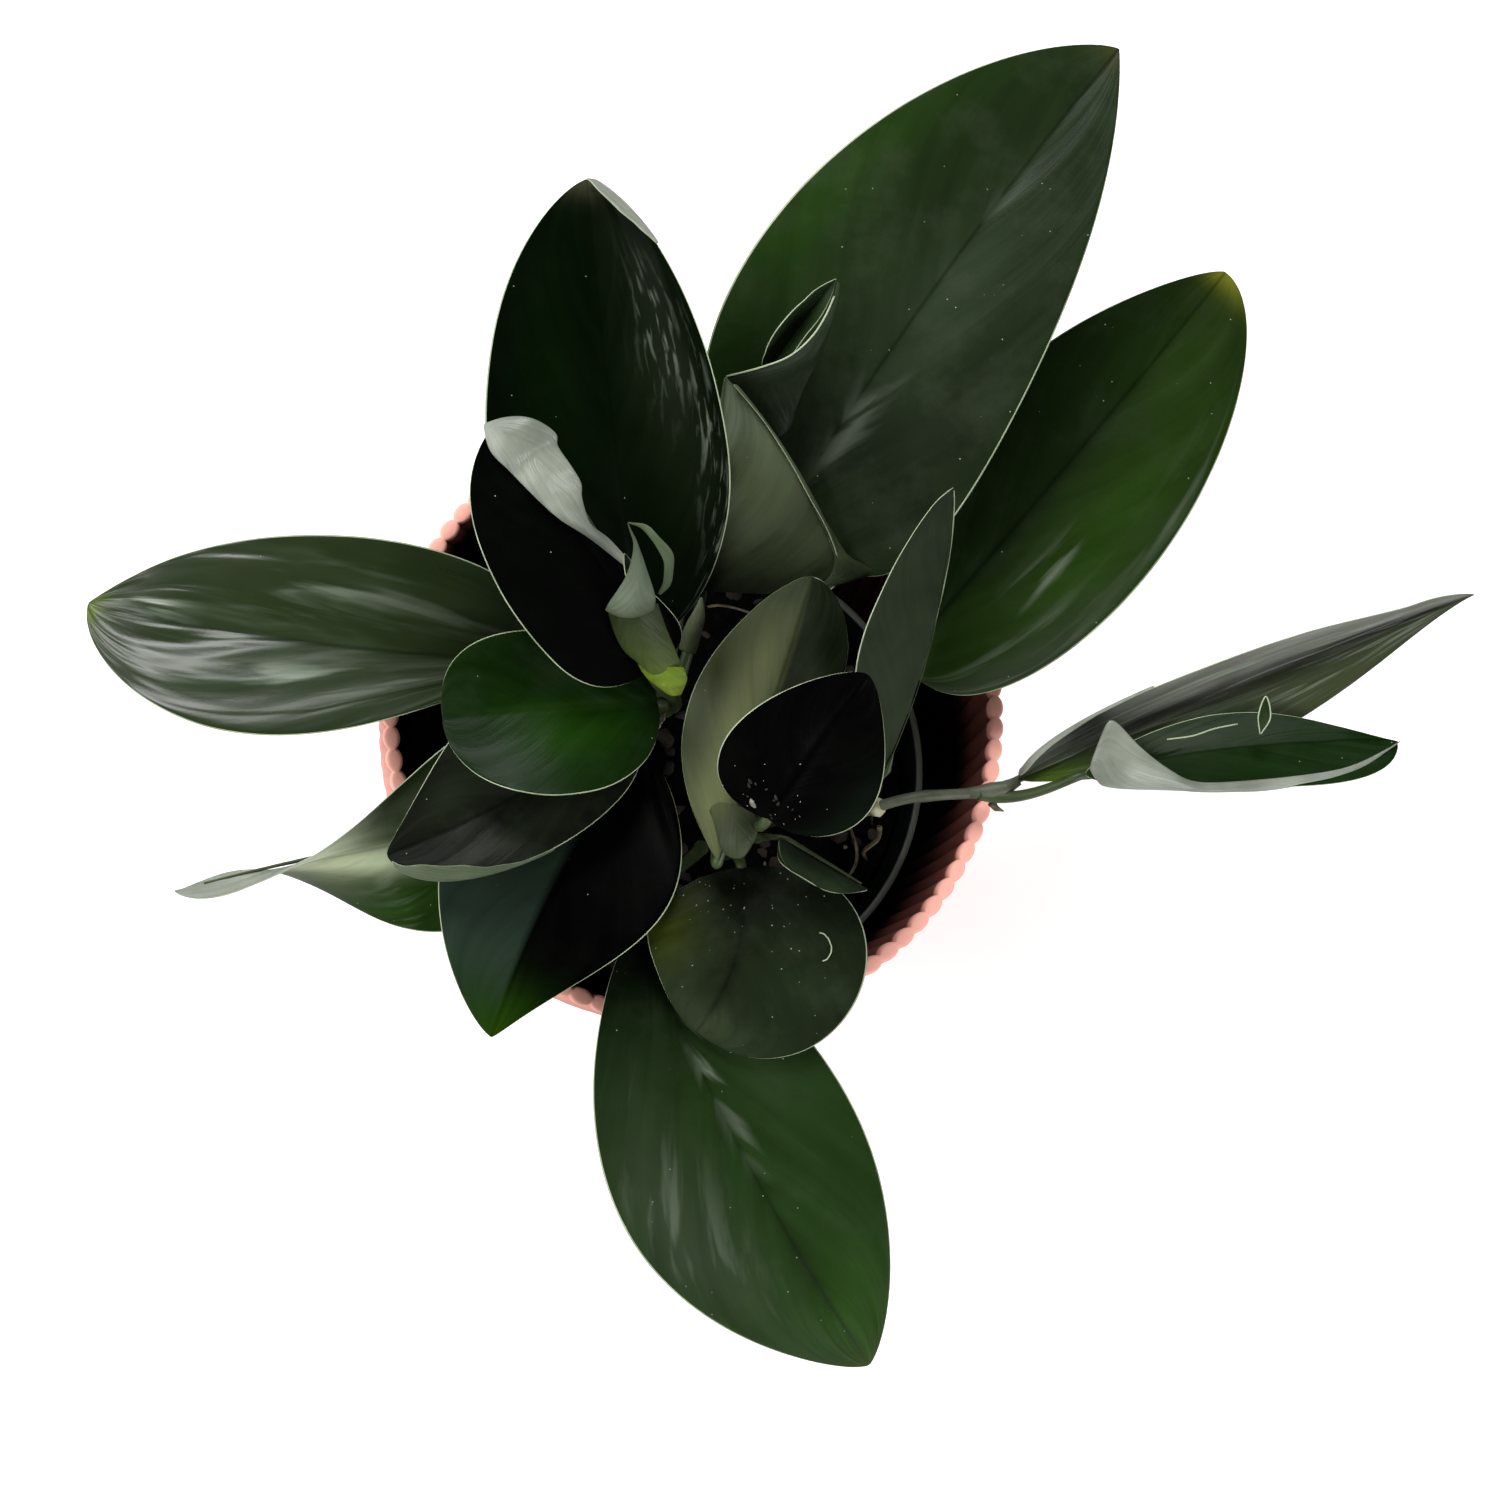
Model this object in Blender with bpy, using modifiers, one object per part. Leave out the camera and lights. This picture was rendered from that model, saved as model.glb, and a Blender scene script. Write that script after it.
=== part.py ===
"""A scindapsus in its nursery pot, standing in a fluted outer pot.

Units are metres, +Z is up and the outer pot stands on z = 0 with its centre line on the Z axis.
Leaf and stem sizes are written in millimetres and turned to metres by MM.
"""
import math

import bmesh
import bpy
from mathutils import Matrix, Vector

MM = 0.001

# ---- driving dimensions, mm ----
POT_HEIGHT = 140.0          # outer pot, foot to rim
POT_RADIUS = 87.5           # over the crests of the flutes at the rim
POT_BELLY = 1.0             # how far the wall swells half way down
POT_TAPER = 6.0             # how much narrower the foot is than the rim
WALL = 4.6                  # crest to crest, outside to inside
FLUTES = 88
FLUTE_DEPTH = 1.0
FLUTE_TWIST = 18.0          # degrees that a flute turns from rim to foot
FLOOR_THICK = 5.0
FOOT_CHAMFER = 2.0
GAP = 0.4                   # clearance left where two pieces touch
SOCKET_GAP = 0.8            # clearance round a stem in the soil

LINER_CENTRE = (5.0, -14.0)     # the nursery pot stands off centre
LINER_TOP = 122.0
LINER_RADIUS = 61.5             # at the top of the wall, outside
LINER_FOOT_RADIUS = 45.0
LINER_WALL = 1.0
LINER_LIP = 1.8                 # how far the rolled rim stands out
LINER_LIP_DROP = 7.0
DRAIN_HOLES = 6
DRAIN_RADIUS = 4.0
DRAIN_CIRCLE = 28.0
DRAIN_SIDES = 12
TURNED_STEPS = 48

SOIL_TOP = 113.0
SOIL_MOUND = 2.5

STEM_RADIUS = 2.6
STEM_SIDES = 8
PETIOLE_RADIUS = 1.5
LAMINA = 0.9                # blade thickness away from the midrib
MIDRIB = 2.2                # blade thickness over the midrib at the heel
PETIOLE_STEPS = 5
BLADE_STEPS = 9
CURLED_STEPS = 14
HALF_COLUMNS = 3            # faces from midrib to margin on a flat leaf
ARC_STEPS = 6               # short steps that a curl is followed in, to a face
EASED_WIDTH = 5.0           # a half narrower than this folds less

COLLECTION = "potted_scindapsus"

# ---- colours: base colour, roughness ----
FINISHES = {
    "pot_pink": ((0.80, 0.36, 0.31), 0.6),
    "liner_black": ((0.03, 0.03, 0.03), 0.35),
    "soil": ((0.035, 0.025, 0.02), 0.95),
    "stem_green": ((0.16, 0.24, 0.09), 0.5),
    "root_brown": ((0.42, 0.33, 0.20), 0.8),
    "leaf_dark": ((0.012, 0.03, 0.015), 0.3),
    "leaf_green": ((0.03, 0.10, 0.02), 0.3),
    "leaf_young": ((0.22, 0.32, 0.14), 0.45),
}

# ---- the climbing stems: points up the middle of each, mm ----
STEMS = {
    "stem_left": [(-13, -10, 104), (-14, -8, 125), (-15, -4, 148), (-15, -3, 158)],
    "stem_front": [(8, -30, 104), (7, -31, 125), (8, -34, 146), (8, -35, 156)],
    "stem_right": [(30, 6, 104), (32, 7, 120), (36, 8, 138), (38, 8, 152)],
    "runner": [(40, -28, 104), (42, -29, 125), (47, -27, 144), (58, -24, 150),
               (76, -22.5, 149.5), (80.5, -22, 149.8)],
}
AERIAL_ROOT = [(50, -32, 143), (51, -35, 136), (49, -38, 128), (52, -40, 119)]

# ---- the leaves ----
# foot        where the petiole leaves its stem, mm
# heel, tip   the ends of the blade's midrib, mm
# left, right half-widths at one fifth, a half and four fifths of the blade, mm
# arch, sway  how far the midrib bows up and to the right, mm, and bend where along the blade
# ends        how blunt the outline is at the heel and at the tip, as powers
# fold        how far each half is raised from flat at the midrib, degrees
# cup         how far each half curls over its width, degrees, and curl how late it does so
# lift        the way the petiole sets off from its stem
# roll        how far the blade is turned about its midrib at the heel and at the tip, degrees
STATIONS = (0.2, 0.5, 0.8)
LEAVES = {}


def leaf(name, finish, foot, heel, tip, left, right, arch=0.0, sway=0.0, bend=0.5, ends=(0.5, 0.7),
         ends_right=None, fold=(8, 8), fold_tip=None, cup=(0, 0), cup_tip=None, curl=1.0,
         roll=(0, 0), roll_power=1.0, lift=(0, 0, 1)):
    """Write one leaf into the table."""
    LEAVES[name] = dict(finish=finish, foot=foot, heel=heel, tip=tip, widths=(left, right),
                        arch=arch, sway=sway, bend=bend, ends=(ends, ends_right or ends),
                        fold=fold, fold_tip=fold_tip or fold, cup=cup, cup_tip=cup_tip or cup,
                        curl=curl, roll=roll, roll_power=roll_power, lift=lift)


leaf("leaf_top_right_large", "leaf_dark", foot=(31, 12, 122), heel=(15, 46, 166),
     tip=(102, 172, 203), left=(41, 44, 27), right=(33, 33, 19.5), arch=8, sway=-3, ends=(0.5, 0.8),
     ends_right=(0.5, 0.95))
leaf("leaf_top_left", "leaf_dark", foot=(-16, 2, 142), heel=(-18, 17, 160), tip=(-38, 132, 190),
     left=(33, 37, 24), right=(25, 32, 21), arch=8, sway=-3, ends=(0.5, 0.8), fold=(18, 14),
     cup=(10, 20), cup_tip=(10, 90), curl=2)
leaf("leaf_right", "leaf_green", foot=(41, 8, 126), heel=(53, 13, 153), tip=(147, 126, 164),
     left=(24, 30, 18), right=(33, 36.5, 26), arch=6, ends=(0.4, 0.75), ends_right=(0.3, 0.5),
     fold=(6, 4))
leaf("leaf_left_long", "leaf_dark", foot=(-19, -4, 132), heel=(-41, 10, 155), tip=(-162, 22, 164),
     left=(13, 26, 20), right=(27, 27, 15), arch=8, sway=-4, bend=0.7, ends=(0.4, 0.6),
     ends_right=(0.5, 1.0), fold=(10, 8))
leaf("leaf_left_black", "leaf_dark", foot=(-12, 3, 152), heel=(-17, 8, 184), tip=(-62, 62, 208),
     left=(24, 27, 22), right=(22, 30, 26), arch=4, ends=(0.5, 0.6), fold=(8, 20), cup=(20, 50),
     cup_tip=(20, 175), curl=2)
leaf("leaf_centre_green", "leaf_green", foot=(-15, -2, 163), heel=(-17, -2, 176),
     tip=(-73, -8, 182), left=(19, 24, 19), right=(14, 20, 19), arch=5, ends=(0.5, 0.5),
     ends_right=(0.7, 0.4), fold=(6, 4), cup=(20, 10))
leaf("leaf_left_folded", "leaf_dark", foot=(-20, -3, 143), heel=(-22, -5, 164), tip=(-86, -42, 167),
     left=(15, 18, 14), right=(22, 25, 13), arch=4, sway=-3, ends=(0.6, 0.6), fold=(10, 6),
     cup=(20, 10), cup_tip=(150, 10), curl=2)
leaf("leaf_left_twisted", "leaf_green", foot=(-17, -13, 122), heel=(-44, -30, 148),
     tip=(-140, -51, 150), left=(24, 22, 7), right=(17, 12, 6), arch=5, ends=(0.5, 0.7),
     fold=(10, 10), roll=(0, 130), roll_power=2.0)
leaf("leaf_lower_left", "leaf_dark", foot=(-15, -12, 127), heel=(-18, -12, 151),
     tip=(-58, -89, 156), left=(24, 28, 13.5), right=(28, 33, 20), arch=5, sway=4, ends=(0.5, 0.75),
     fold=(10, 8))
leaf("leaf_front_round", "leaf_dark", foot=(8, -39, 134), heel=(9, -44, 155), tip=(-3, -88, 151),
     left=(30, 35, 27), right=(21, 25, 18), arch=5, sway=-4, ends=(0.45, 0.45), fold=(6, 0))
leaf("leaf_bottom_large", "leaf_green", foot=(3, -37, 122), heel=(-18, -61, 145),
     tip=(48, -180, 136), left=(24, 32.5, 23), right=(26, 38, 24), arch=6, sway=4, ends=(0.5, 0.75),
     fold=(6, 6))
leaf("leaf_centre_black", "leaf_dark", foot=(11, -30, 152), heel=(10, -33, 186), tip=(33, 3, 202),
     left=(20, 19.5, 11), right=(18, 20, 12), arch=4, sway=-1, ends=(0.4, 0.6), fold=(10, 10))
leaf("leaf_centre_upright", "leaf_young", foot=(3, -34, 146), heel=(0, -43, 170), tip=(21, 30, 190),
     left=(19, 22, 15), right=(4, 15, 18), arch=4, ends=(0.5, 0.7), ends_right=(1.2, 0.4),
     fold=(-25, -25))
leaf("leaf_rolled", "leaf_young", foot=(-10, 0, 142), heel=(-4, 24, 165.5), tip=(-2, 80, 192),
     left=(1, 1, 1), right=(41, 26, 10), arch=3, ends=(0.5, 0.5), ends_right=(0.2, 1.0),
     fold=(-25, -3))
leaf("leaf_funnel", "leaf_young", foot=(-9.5, 2, 132), heel=(7, 74, 183), tip=(24, 104, 206),
     left=(7, 9, 4), right=(7, 8, 4), arch=-3, ends=(0.8, 0.8), fold=(40, 40), cup=(40, 100),
     lift=(0, 0.7, 0.55))
leaf("leaf_right_upright", "leaf_dark", foot=(43.5, -23.2, 134), heel=(46, -17, 164), tip=(54, 51, 206),
     left=(18, 23, 16), right=(20, 26, 18), sway=4, ends=(0.5, 0.6), fold=(20, 20), roll=(125, 125))
leaf("leaf_runner_tip", "leaf_dark", foot=(82.5, -20.5, 151), heel=(88, -18.5, 152.5), tip=(216, 34, 172),
     left=(14, 12, 6), right=(12, 17, 7.5), arch=4, sway=-2, ends=(0.5, 0.7), fold=(55, 15),
     fold_tip=(50, 10), lift=(1, 0.2, 0.1))
leaf("leaf_runner_boat", "leaf_green", foot=(82.5, -24.5, 148.5), heel=(106, -21, 144),
     tip=(203, -5, 150), left=(12, 13, 9), right=(14, 17, 12), arch=-4, sway=-3, ends=(0.5, 0.8),
     fold=(20, 30), cup=(20, 95), cup_tip=(20, 30), lift=(1, 0, -0.1))
leaf("leaf_young_furled", "leaf_young", foot=(-10.4, -0.6, 158), heel=(-15.5, 0.5, 190),
     tip=(-31, 36, 222), left=(20, 30, 12), right=(8, 10, 9), arch=4, ends=(0.5, 0.5),
     fold=(10, 20), cup=(120, 60), cup_tip=(120, 60),
     lift=(0.05, 0.05, 1))
leaf("leaf_young_front", "leaf_young", foot=(13, -36, 156), heel=(20, -41, 171), tip=(40, -51, 174),
     left=(4, 5, 4), right=(4, 5, 4), arch=1, ends=(0.5, 0.6), fold=(-30, -30))

# leaves with a margin rolled over need more faces across
CURLED = {"leaf_left_black": 8, "leaf_left_folded": 6, "leaf_young_furled": 8, "leaf_top_left": 5,
          "leaf_funnel": 5, "leaf_runner_boat": 5}


# ---- helpers ----

def clear_scene():
    """Remove every object, and the meshes and curves they leave."""
    for item in list(bpy.data.objects):
        bpy.data.objects.remove(item, do_unlink=True)
    for mesh in list(bpy.data.meshes):
        bpy.data.meshes.remove(mesh)


def make_collection(name):
    """A new collection in the scene."""
    collection = bpy.data.collections.new(name)
    bpy.context.scene.collection.children.link(collection)
    return collection


def make_material(name):
    """A Principled material with the colour and roughness of one finish."""
    if name in bpy.data.materials:
        return bpy.data.materials[name]
    colour, roughness = FINISHES[name]
    material = bpy.data.materials.new(name)
    material.use_nodes = True
    shader = material.node_tree.nodes["Principled BSDF"]
    shader.inputs["Base Color"].default_value = (*colour, 1.0)
    shader.inputs["Roughness"].default_value = roughness
    return material


def make_object(name, bm, finish, collection):
    """Write a bmesh into a named object, in metres, with its faces outward."""
    bmesh.ops.recalc_face_normals(bm, faces=bm.faces)
    bmesh.ops.transform(bm, matrix=Matrix.Scale(MM, 4), verts=bm.verts)
    mesh = bpy.data.meshes.new(name)
    bm.to_mesh(mesh)
    bm.free()
    mesh.shade_smooth()
    item = bpy.data.objects.new(name, mesh)
    item.data.materials.append(make_material(finish))
    collection.objects.link(item)
    return item


def loft(rings):
    """Skin a list of closed rings of points, all of one length, and cap both ends."""
    bm = bmesh.new()
    rows = [[bm.verts.new(point) for point in ring] for ring in rings]
    count = len(rows[0])
    for lower, upper in zip(rows, rows[1:]):
        for i in range(count):
            j = (i + 1) % count
            bm.faces.new((lower[i], lower[j], upper[j], upper[i]))
    bm.faces.new(rows[0][::-1])
    bm.faces.new(rows[-1])
    return bm


def bezier(points, t):
    """The point at t on the Bezier curve of any degree through these controls."""
    points = [Vector(p) for p in points]
    while len(points) > 1:
        points = [a.lerp(b, t) for a, b in zip(points, points[1:])]
    return points[0]


# ---- the outer pot ----

def flute_ring(radius, z, turn, inner):
    """One turn of the fluted wall: a valley and two crest points for each flute."""
    bite = -FLUTE_DEPTH if not inner else FLUTE_DEPTH
    ring = []
    for flute in range(FLUTES):
        for share, is_valley in ((0.0, True), (0.3, False), (0.7, False)):
            angle = 2 * math.pi * (flute + share) / FLUTES + turn
            r = radius + (bite if is_valley else 0.0)
            ring.append(Vector((r * math.cos(angle), r * math.sin(angle), z)))
    return ring


def wall_radius(z):
    """Outer crest radius at a height: a slight belly over a slight taper."""
    up = z / POT_HEIGHT
    return POT_RADIUS - POT_TAPER * (1 - up) ** 2 + POT_BELLY * math.sin(math.pi * up)


def wall_turn(z):
    """How far the flutes have turned at a height."""
    return math.radians(FLUTE_TWIST) * (z / POT_HEIGHT - 1)


def build_outer_pot(collection):
    """The fluted pot: a floor and one wall, closed over the rim."""
    outside = [FOOT_CHAMFER, POT_HEIGHT / 3, 2 * POT_HEIGHT / 3, POT_HEIGHT]
    inside = [POT_HEIGHT, 2 * POT_HEIGHT / 3, POT_HEIGHT / 3, FLOOR_THICK]
    rings = [flute_ring(wall_radius(0) - FOOT_CHAMFER, 0, wall_turn(0), False)]
    rings += [flute_ring(wall_radius(z), z, wall_turn(z), False) for z in outside]
    rings += [flute_ring(wall_radius(z) - WALL, z, wall_turn(z), True) for z in inside]
    return make_object("outer_pot", loft(rings), "pot_pink", collection)


# ---- the nursery pot ----

def turned(name, profile, centre, finish, collection):
    """A body turned from an (r, z) profile about a centre, with a Screw modifier."""
    bm = bmesh.new()
    points = [bm.verts.new((radius * MM, 0, z * MM)) for radius, z in profile]
    for start, end in zip(points, points[1:]):
        bm.edges.new((start, end))
    mesh = bpy.data.meshes.new(name)
    bm.to_mesh(mesh)
    bm.free()
    item = bpy.data.objects.new(name, mesh)
    item.location = (centre[0] * MM, centre[1] * MM, 0)
    item.data.materials.append(make_material(finish))
    collection.objects.link(item)
    screw = item.modifiers.new("turn", "SCREW")
    screw.steps = screw.render_steps = TURNED_STEPS
    screw.use_merge_vertices = True
    screw.merge_threshold = 0.00001
    screw.use_smooth_shade = True
    return item


def cut_from(item, name, low, high, radius, sides, cutters):
    """Cut a round hole out of a piece, from one point to another."""
    low = Vector(low)
    along = Vector(high) - low
    bm = bmesh.new()
    bmesh.ops.create_cone(bm, cap_ends=True, segments=sides, radius1=radius, radius2=radius,
                          depth=along.length)
    turn = along.to_track_quat("Z", "Y").to_matrix().to_4x4()
    bmesh.ops.transform(bm, matrix=Matrix.Translation(low + along / 2) @ turn, verts=bm.verts)
    cutter = make_object(name, bm, "soil", cutters)
    cutter.hide_render = True
    cutter.display_type = "WIRE"
    cut = item.modifiers.new(name, "BOOLEAN")
    cut.object = cutter
    cut.solver = "EXACT"


def build_liner(collection, cutters):
    """The thin nursery pot with its turned-down lip, and drain holes cut in the floor."""
    foot_z = FLOOR_THICK + GAP
    lip = LINER_RADIUS + LINER_LIP
    slope = (LINER_RADIUS - LINER_FOOT_RADIUS) / (LINER_TOP - foot_z)
    under_lip = LINER_RADIUS - slope * LINER_LIP_DROP
    profile = [
        (0, foot_z + LINER_WALL),
        (LINER_FOOT_RADIUS - LINER_WALL, foot_z + LINER_WALL),
        (LINER_RADIUS - LINER_WALL, LINER_TOP),
        (lip, LINER_TOP),
        (lip, LINER_TOP - LINER_LIP_DROP),
        (under_lip, LINER_TOP - LINER_LIP_DROP),
        (LINER_FOOT_RADIUS, foot_z),
        (0, foot_z),
    ]
    liner = turned("nursery_pot", profile, LINER_CENTRE, "liner_black", collection)
    for k in range(DRAIN_HOLES):
        angle = 2 * math.pi * k / DRAIN_HOLES
        x = LINER_CENTRE[0] + DRAIN_CIRCLE * math.cos(angle)
        y = LINER_CENTRE[1] + DRAIN_CIRCLE * math.sin(angle)
        cut_from(liner, f"drain_{k}", (x, y, foot_z - LINER_WALL),
                 (x, y, foot_z + 2 * LINER_WALL), DRAIN_RADIUS, DRAIN_SIDES, cutters)


def build_soil(collection, cutters):
    """The root ball: it fills the nursery pot, uneven on top, with a socket for each stem."""
    foot_z = FLOOR_THICK + GAP + LINER_WALL + GAP
    inner_foot = LINER_FOOT_RADIUS - LINER_WALL - GAP
    top_share = (SOIL_TOP - foot_z) / (LINER_TOP - foot_z)
    inner_top = inner_foot + (LINER_RADIUS - LINER_FOOT_RADIUS) * top_share
    sides = 40
    rings = []
    for radius, z, lumps in ((inner_foot, foot_z, 0), (inner_top - GAP, SOIL_TOP - 2, 0),
                             (0.93 * inner_top, SOIL_TOP, 0.6), (0.7 * inner_top, SOIL_TOP, 1.0),
                             (0.45 * inner_top, SOIL_TOP, 1.2), (0.2 * inner_top, SOIL_TOP, 0.8)):
        ring = []
        for k in range(sides):
            angle = 2 * math.pi * k / sides
            lump = lumps * (math.sin(5 * angle + radius) + math.cos(3 * angle - 0.2 * radius))
            mound = SOIL_MOUND * (1 - (radius / inner_top) ** 2) if lumps else 0.0
            ring.append(Vector((LINER_CENTRE[0] + radius * math.cos(angle),
                                LINER_CENTRE[1] + radius * math.sin(angle), z + mound + lump)))
        rings.append(ring)
    soil = make_object("soil", loft(rings), "soil", collection)
    for name, points in STEMS.items():
        low = Vector(points[0])
        high = Vector(points[1])
        cut_from(soil, name + "_socket", low.lerp(high, -0.2), high,
                 STEM_RADIUS + SOCKET_GAP, STEM_SIDES, cutters)


# ---- stems ----

def build_stem(name, points, radius, finish, collection):
    """A round stem swept along hand-set points, with closed ends."""
    curve = bpy.data.curves.new(name + "_path", "CURVE")
    curve.dimensions = "3D"
    curve.bevel_depth = radius * MM
    curve.bevel_resolution = STEM_SIDES // 4
    curve.use_fill_caps = True
    spline = curve.splines.new("POLY")
    spline.points.add(len(points) - 1)
    for point, place in zip(spline.points, points):
        point.co = (*[MM * value for value in place], 1.0)
    path = bpy.data.objects.new(name + "_path", curve)
    collection.objects.link(path)
    bpy.context.view_layer.update()
    mesh = bpy.data.meshes.new_from_object(path.evaluated_get(
        bpy.context.evaluated_depsgraph_get()))
    bm = bmesh.new()
    bm.from_mesh(mesh)
    bmesh.ops.remove_doubles(bm, verts=bm.verts, dist=1e-6)
    bmesh.ops.transform(bm, matrix=Matrix.Scale(1 / MM, 4), verts=bm.verts)
    bpy.data.objects.remove(path, do_unlink=True)
    return make_object(name, bm, finish, collection)


# ---- leaves ----

def outline(t, widths, ends):
    """Half-width at t along the blade, through the widths at the three stations."""
    heel_power, tip_power = ends

    def envelope(place):
        return place ** heel_power * (1 - place) ** tip_power

    width = 0.0
    for station, reach in zip(STATIONS, widths):
        share = 1.0
        for other in STATIONS:
            if other != station:
                share *= (t - other) / (station - other)
        width += share * reach / envelope(station)
    return envelope(t) * width


def blade_frame(spec, t):
    """Midrib point, sideways direction and face direction at t along the blade."""
    heel = Vector(spec["heel"])
    tip = Vector(spec["tip"])
    chord = tip - heel
    side = chord.cross(Vector((0, 0, 1))).normalized()
    up = side.cross(chord).normalized()
    control = heel + chord * spec["bend"] + 2 * (up * spec["arch"] + side * spec["sway"])
    centre = bezier((heel, control, tip), t)
    along = ((control - heel) * (1 - t) + (tip - control) * t).normalized()
    side = along.cross(up).normalized()
    face = side.cross(along)
    first, last = spec["roll"]
    roll = math.radians(first + (last - first) * t ** spec["roll_power"])
    return (centre, side * math.cos(roll) + face * math.sin(roll),
            face * math.cos(roll) - side * math.sin(roll))


def half_section(spec, t, half, columns):
    """Across, rise and lean of one half of the blade at each column from midrib to margin."""
    width = outline(t, spec["widths"][half], spec["ends"][half])
    width = max(width, PETIOLE_RADIUS * (1 - t) + 0.5 * LAMINA * t)
    ease = min(1.0, width / EASED_WIDTH)
    fold = ease * math.radians(spec["fold"][half] * (1 - t) + spec["fold_tip"][half] * t)
    cup = math.radians(spec["cup"][half] * (1 - t) + spec["cup_tip"][half] * t)
    cup *= width / max(spec["widths"][half])
    across, rise = 0.0, 0.0
    places = [(across, rise, fold)]
    for step in range(1, columns * ARC_STEPS + 1):
        share = step / (columns * ARC_STEPS)
        middle = (step - 0.5) / (columns * ARC_STEPS)
        lean = fold + cup * middle ** spec["curl"]
        across += width * math.cos(lean) / (columns * ARC_STEPS)
        rise += width * math.sin(lean) / (columns * ARC_STEPS)
        if step % ARC_STEPS == 0:
            places.append((across, rise, fold + cup * share ** spec["curl"]))
    return places


def blade_section(spec, t, columns):
    """The closed section of the blade at t: top points left to right, then the underside."""
    centre, side, face = blade_frame(spec, t)
    thick_mid = MIDRIB * (1 - 0.6 * t) / 2
    halves = (half_section(spec, t, 0, columns), half_section(spec, t, 1, columns))
    top = []
    under = []
    for column in range(-columns, columns + 1):
        sign = 1 if column > 0 else -1
        across, rise, lean = halves[1 if column > 0 else 0][abs(column)]
        place = centre + side * (sign * across) + face * rise
        normal = face * math.cos(lean) - side * (sign * math.sin(lean))
        if column == 0:
            normal = face
        share = abs(column) / columns
        thick = LAMINA / 2 + (thick_mid - LAMINA / 2) * max(0.0, 1 - 2.5 * share)
        if abs(column) == columns:
            thick = LAMINA / 4
        top.append(place + normal * thick)
        under.append(place - normal * thick)
    return top + under[::-1]


def petiole_sections(spec, columns):
    """Round sections from the stem to the heel, with the same number of points as the blade."""
    foot = Vector(spec["foot"])
    heel = Vector(spec["heel"])
    across, face = blade_frame(spec, 0.0)[1:]
    along = face.cross(across)
    span = (heel - foot).length
    setting_off = foot + 0.4 * span * Vector(spec["lift"])
    controls = (foot, setting_off, heel - along * 0.2 * span, heel)
    count = 4 * columns + 2
    sections = []
    for step in reversed(range(PETIOLE_STEPS)):
        t = step / PETIOLE_STEPS
        here = bezier(controls, t)
        ahead = (bezier(controls, t + 0.02) - here).normalized()
        across = (across - ahead * across.dot(ahead)).normalized()
        out = across.cross(ahead)
        ring = []
        for k in range(count):
            angle = math.pi - 2 * math.pi * (k + 0.5) / count
            ring.append(here + PETIOLE_RADIUS * (across * math.cos(angle) + out * math.sin(angle)))
        sections.insert(0, ring)
    return sections


def build_leaf(name, spec, collection):
    """One leaf grown in one piece: its petiole, then its blade."""
    columns = CURLED.get(name, HALF_COLUMNS)
    rings = petiole_sections(spec, columns)
    steps = CURLED_STEPS if name in CURLED else BLADE_STEPS
    for step in range(1, steps + 1):
        t = (1 - math.cos(math.pi * step / (steps + 1))) / 2
        rings.append(blade_section(spec, t, columns))
    rings.append(blade_section(spec, 0.998, columns))
    return make_object(name, loft(rings), spec["finish"], collection)


clear_scene()
parts = make_collection(COLLECTION)
cutters = make_collection("cutters")
build_outer_pot(parts)
build_liner(parts, cutters)
build_soil(parts, cutters)
for stem_name, stem_points in STEMS.items():
    build_stem(stem_name, stem_points, STEM_RADIUS, "stem_green", parts)
build_stem("aerial_root", AERIAL_ROOT, 0.8, "root_brown", parts)
for leaf_name, leaf_spec in LEAVES.items():
    build_leaf(leaf_name, leaf_spec, parts)
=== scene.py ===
import math
import random

import bmesh
import bpy
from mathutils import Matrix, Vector, noise


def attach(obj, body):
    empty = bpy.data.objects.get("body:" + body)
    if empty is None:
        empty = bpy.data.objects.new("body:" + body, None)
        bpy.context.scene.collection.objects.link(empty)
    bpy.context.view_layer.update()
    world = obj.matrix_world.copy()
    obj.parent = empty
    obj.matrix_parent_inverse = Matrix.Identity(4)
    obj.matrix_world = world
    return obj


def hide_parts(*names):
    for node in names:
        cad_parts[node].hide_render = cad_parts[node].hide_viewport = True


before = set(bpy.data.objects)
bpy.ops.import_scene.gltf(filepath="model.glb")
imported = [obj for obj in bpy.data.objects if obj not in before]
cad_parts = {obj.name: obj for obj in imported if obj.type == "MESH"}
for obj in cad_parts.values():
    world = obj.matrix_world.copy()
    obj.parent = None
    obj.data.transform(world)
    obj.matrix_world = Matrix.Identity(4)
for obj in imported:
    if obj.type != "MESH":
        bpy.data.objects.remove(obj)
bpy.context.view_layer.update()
bpy.ops.object.select_all(action="DESELECT")

# ---- Camera ----
# The plant is looked at from nearly overhead, leaning a little to its front left,
# from about 0.6 m above the leaves, with an ordinary lens.
eye = Vector((-0.0961, -0.0689, 0.7426))
looked_at = Vector((0.0138, -0.0106, 0.140))
back = (eye - looked_at).normalized()
across = Vector((0, 1, 0)).cross(back).normalized()
upward = back.cross(across)
bpy.ops.object.camera_add()
camera = bpy.context.object
camera.name = "overhead_camera"
for row in range(3):
    camera.matrix_world[row][0] = across[row]
    camera.matrix_world[row][1] = upward[row]
    camera.matrix_world[row][2] = back[row]
    camera.matrix_world[row][3] = eye[row]
camera.data.sensor_width = 36
camera.data.lens = 53.04
bpy.context.scene.camera = camera
bpy.context.scene.view_settings.view_transform = "Standard"

# ---- Floor and light ----
# A pale floor under the pot, one broad window-like panel to the left, a smaller one in front
# and to the right, and a dim even room, so that leaves facing straight up stay dark.
bpy.ops.mesh.primitive_plane_add(size=6, location=(0, 0, -0.0005))
floor = bpy.context.object
floor.name = "floor"


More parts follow.
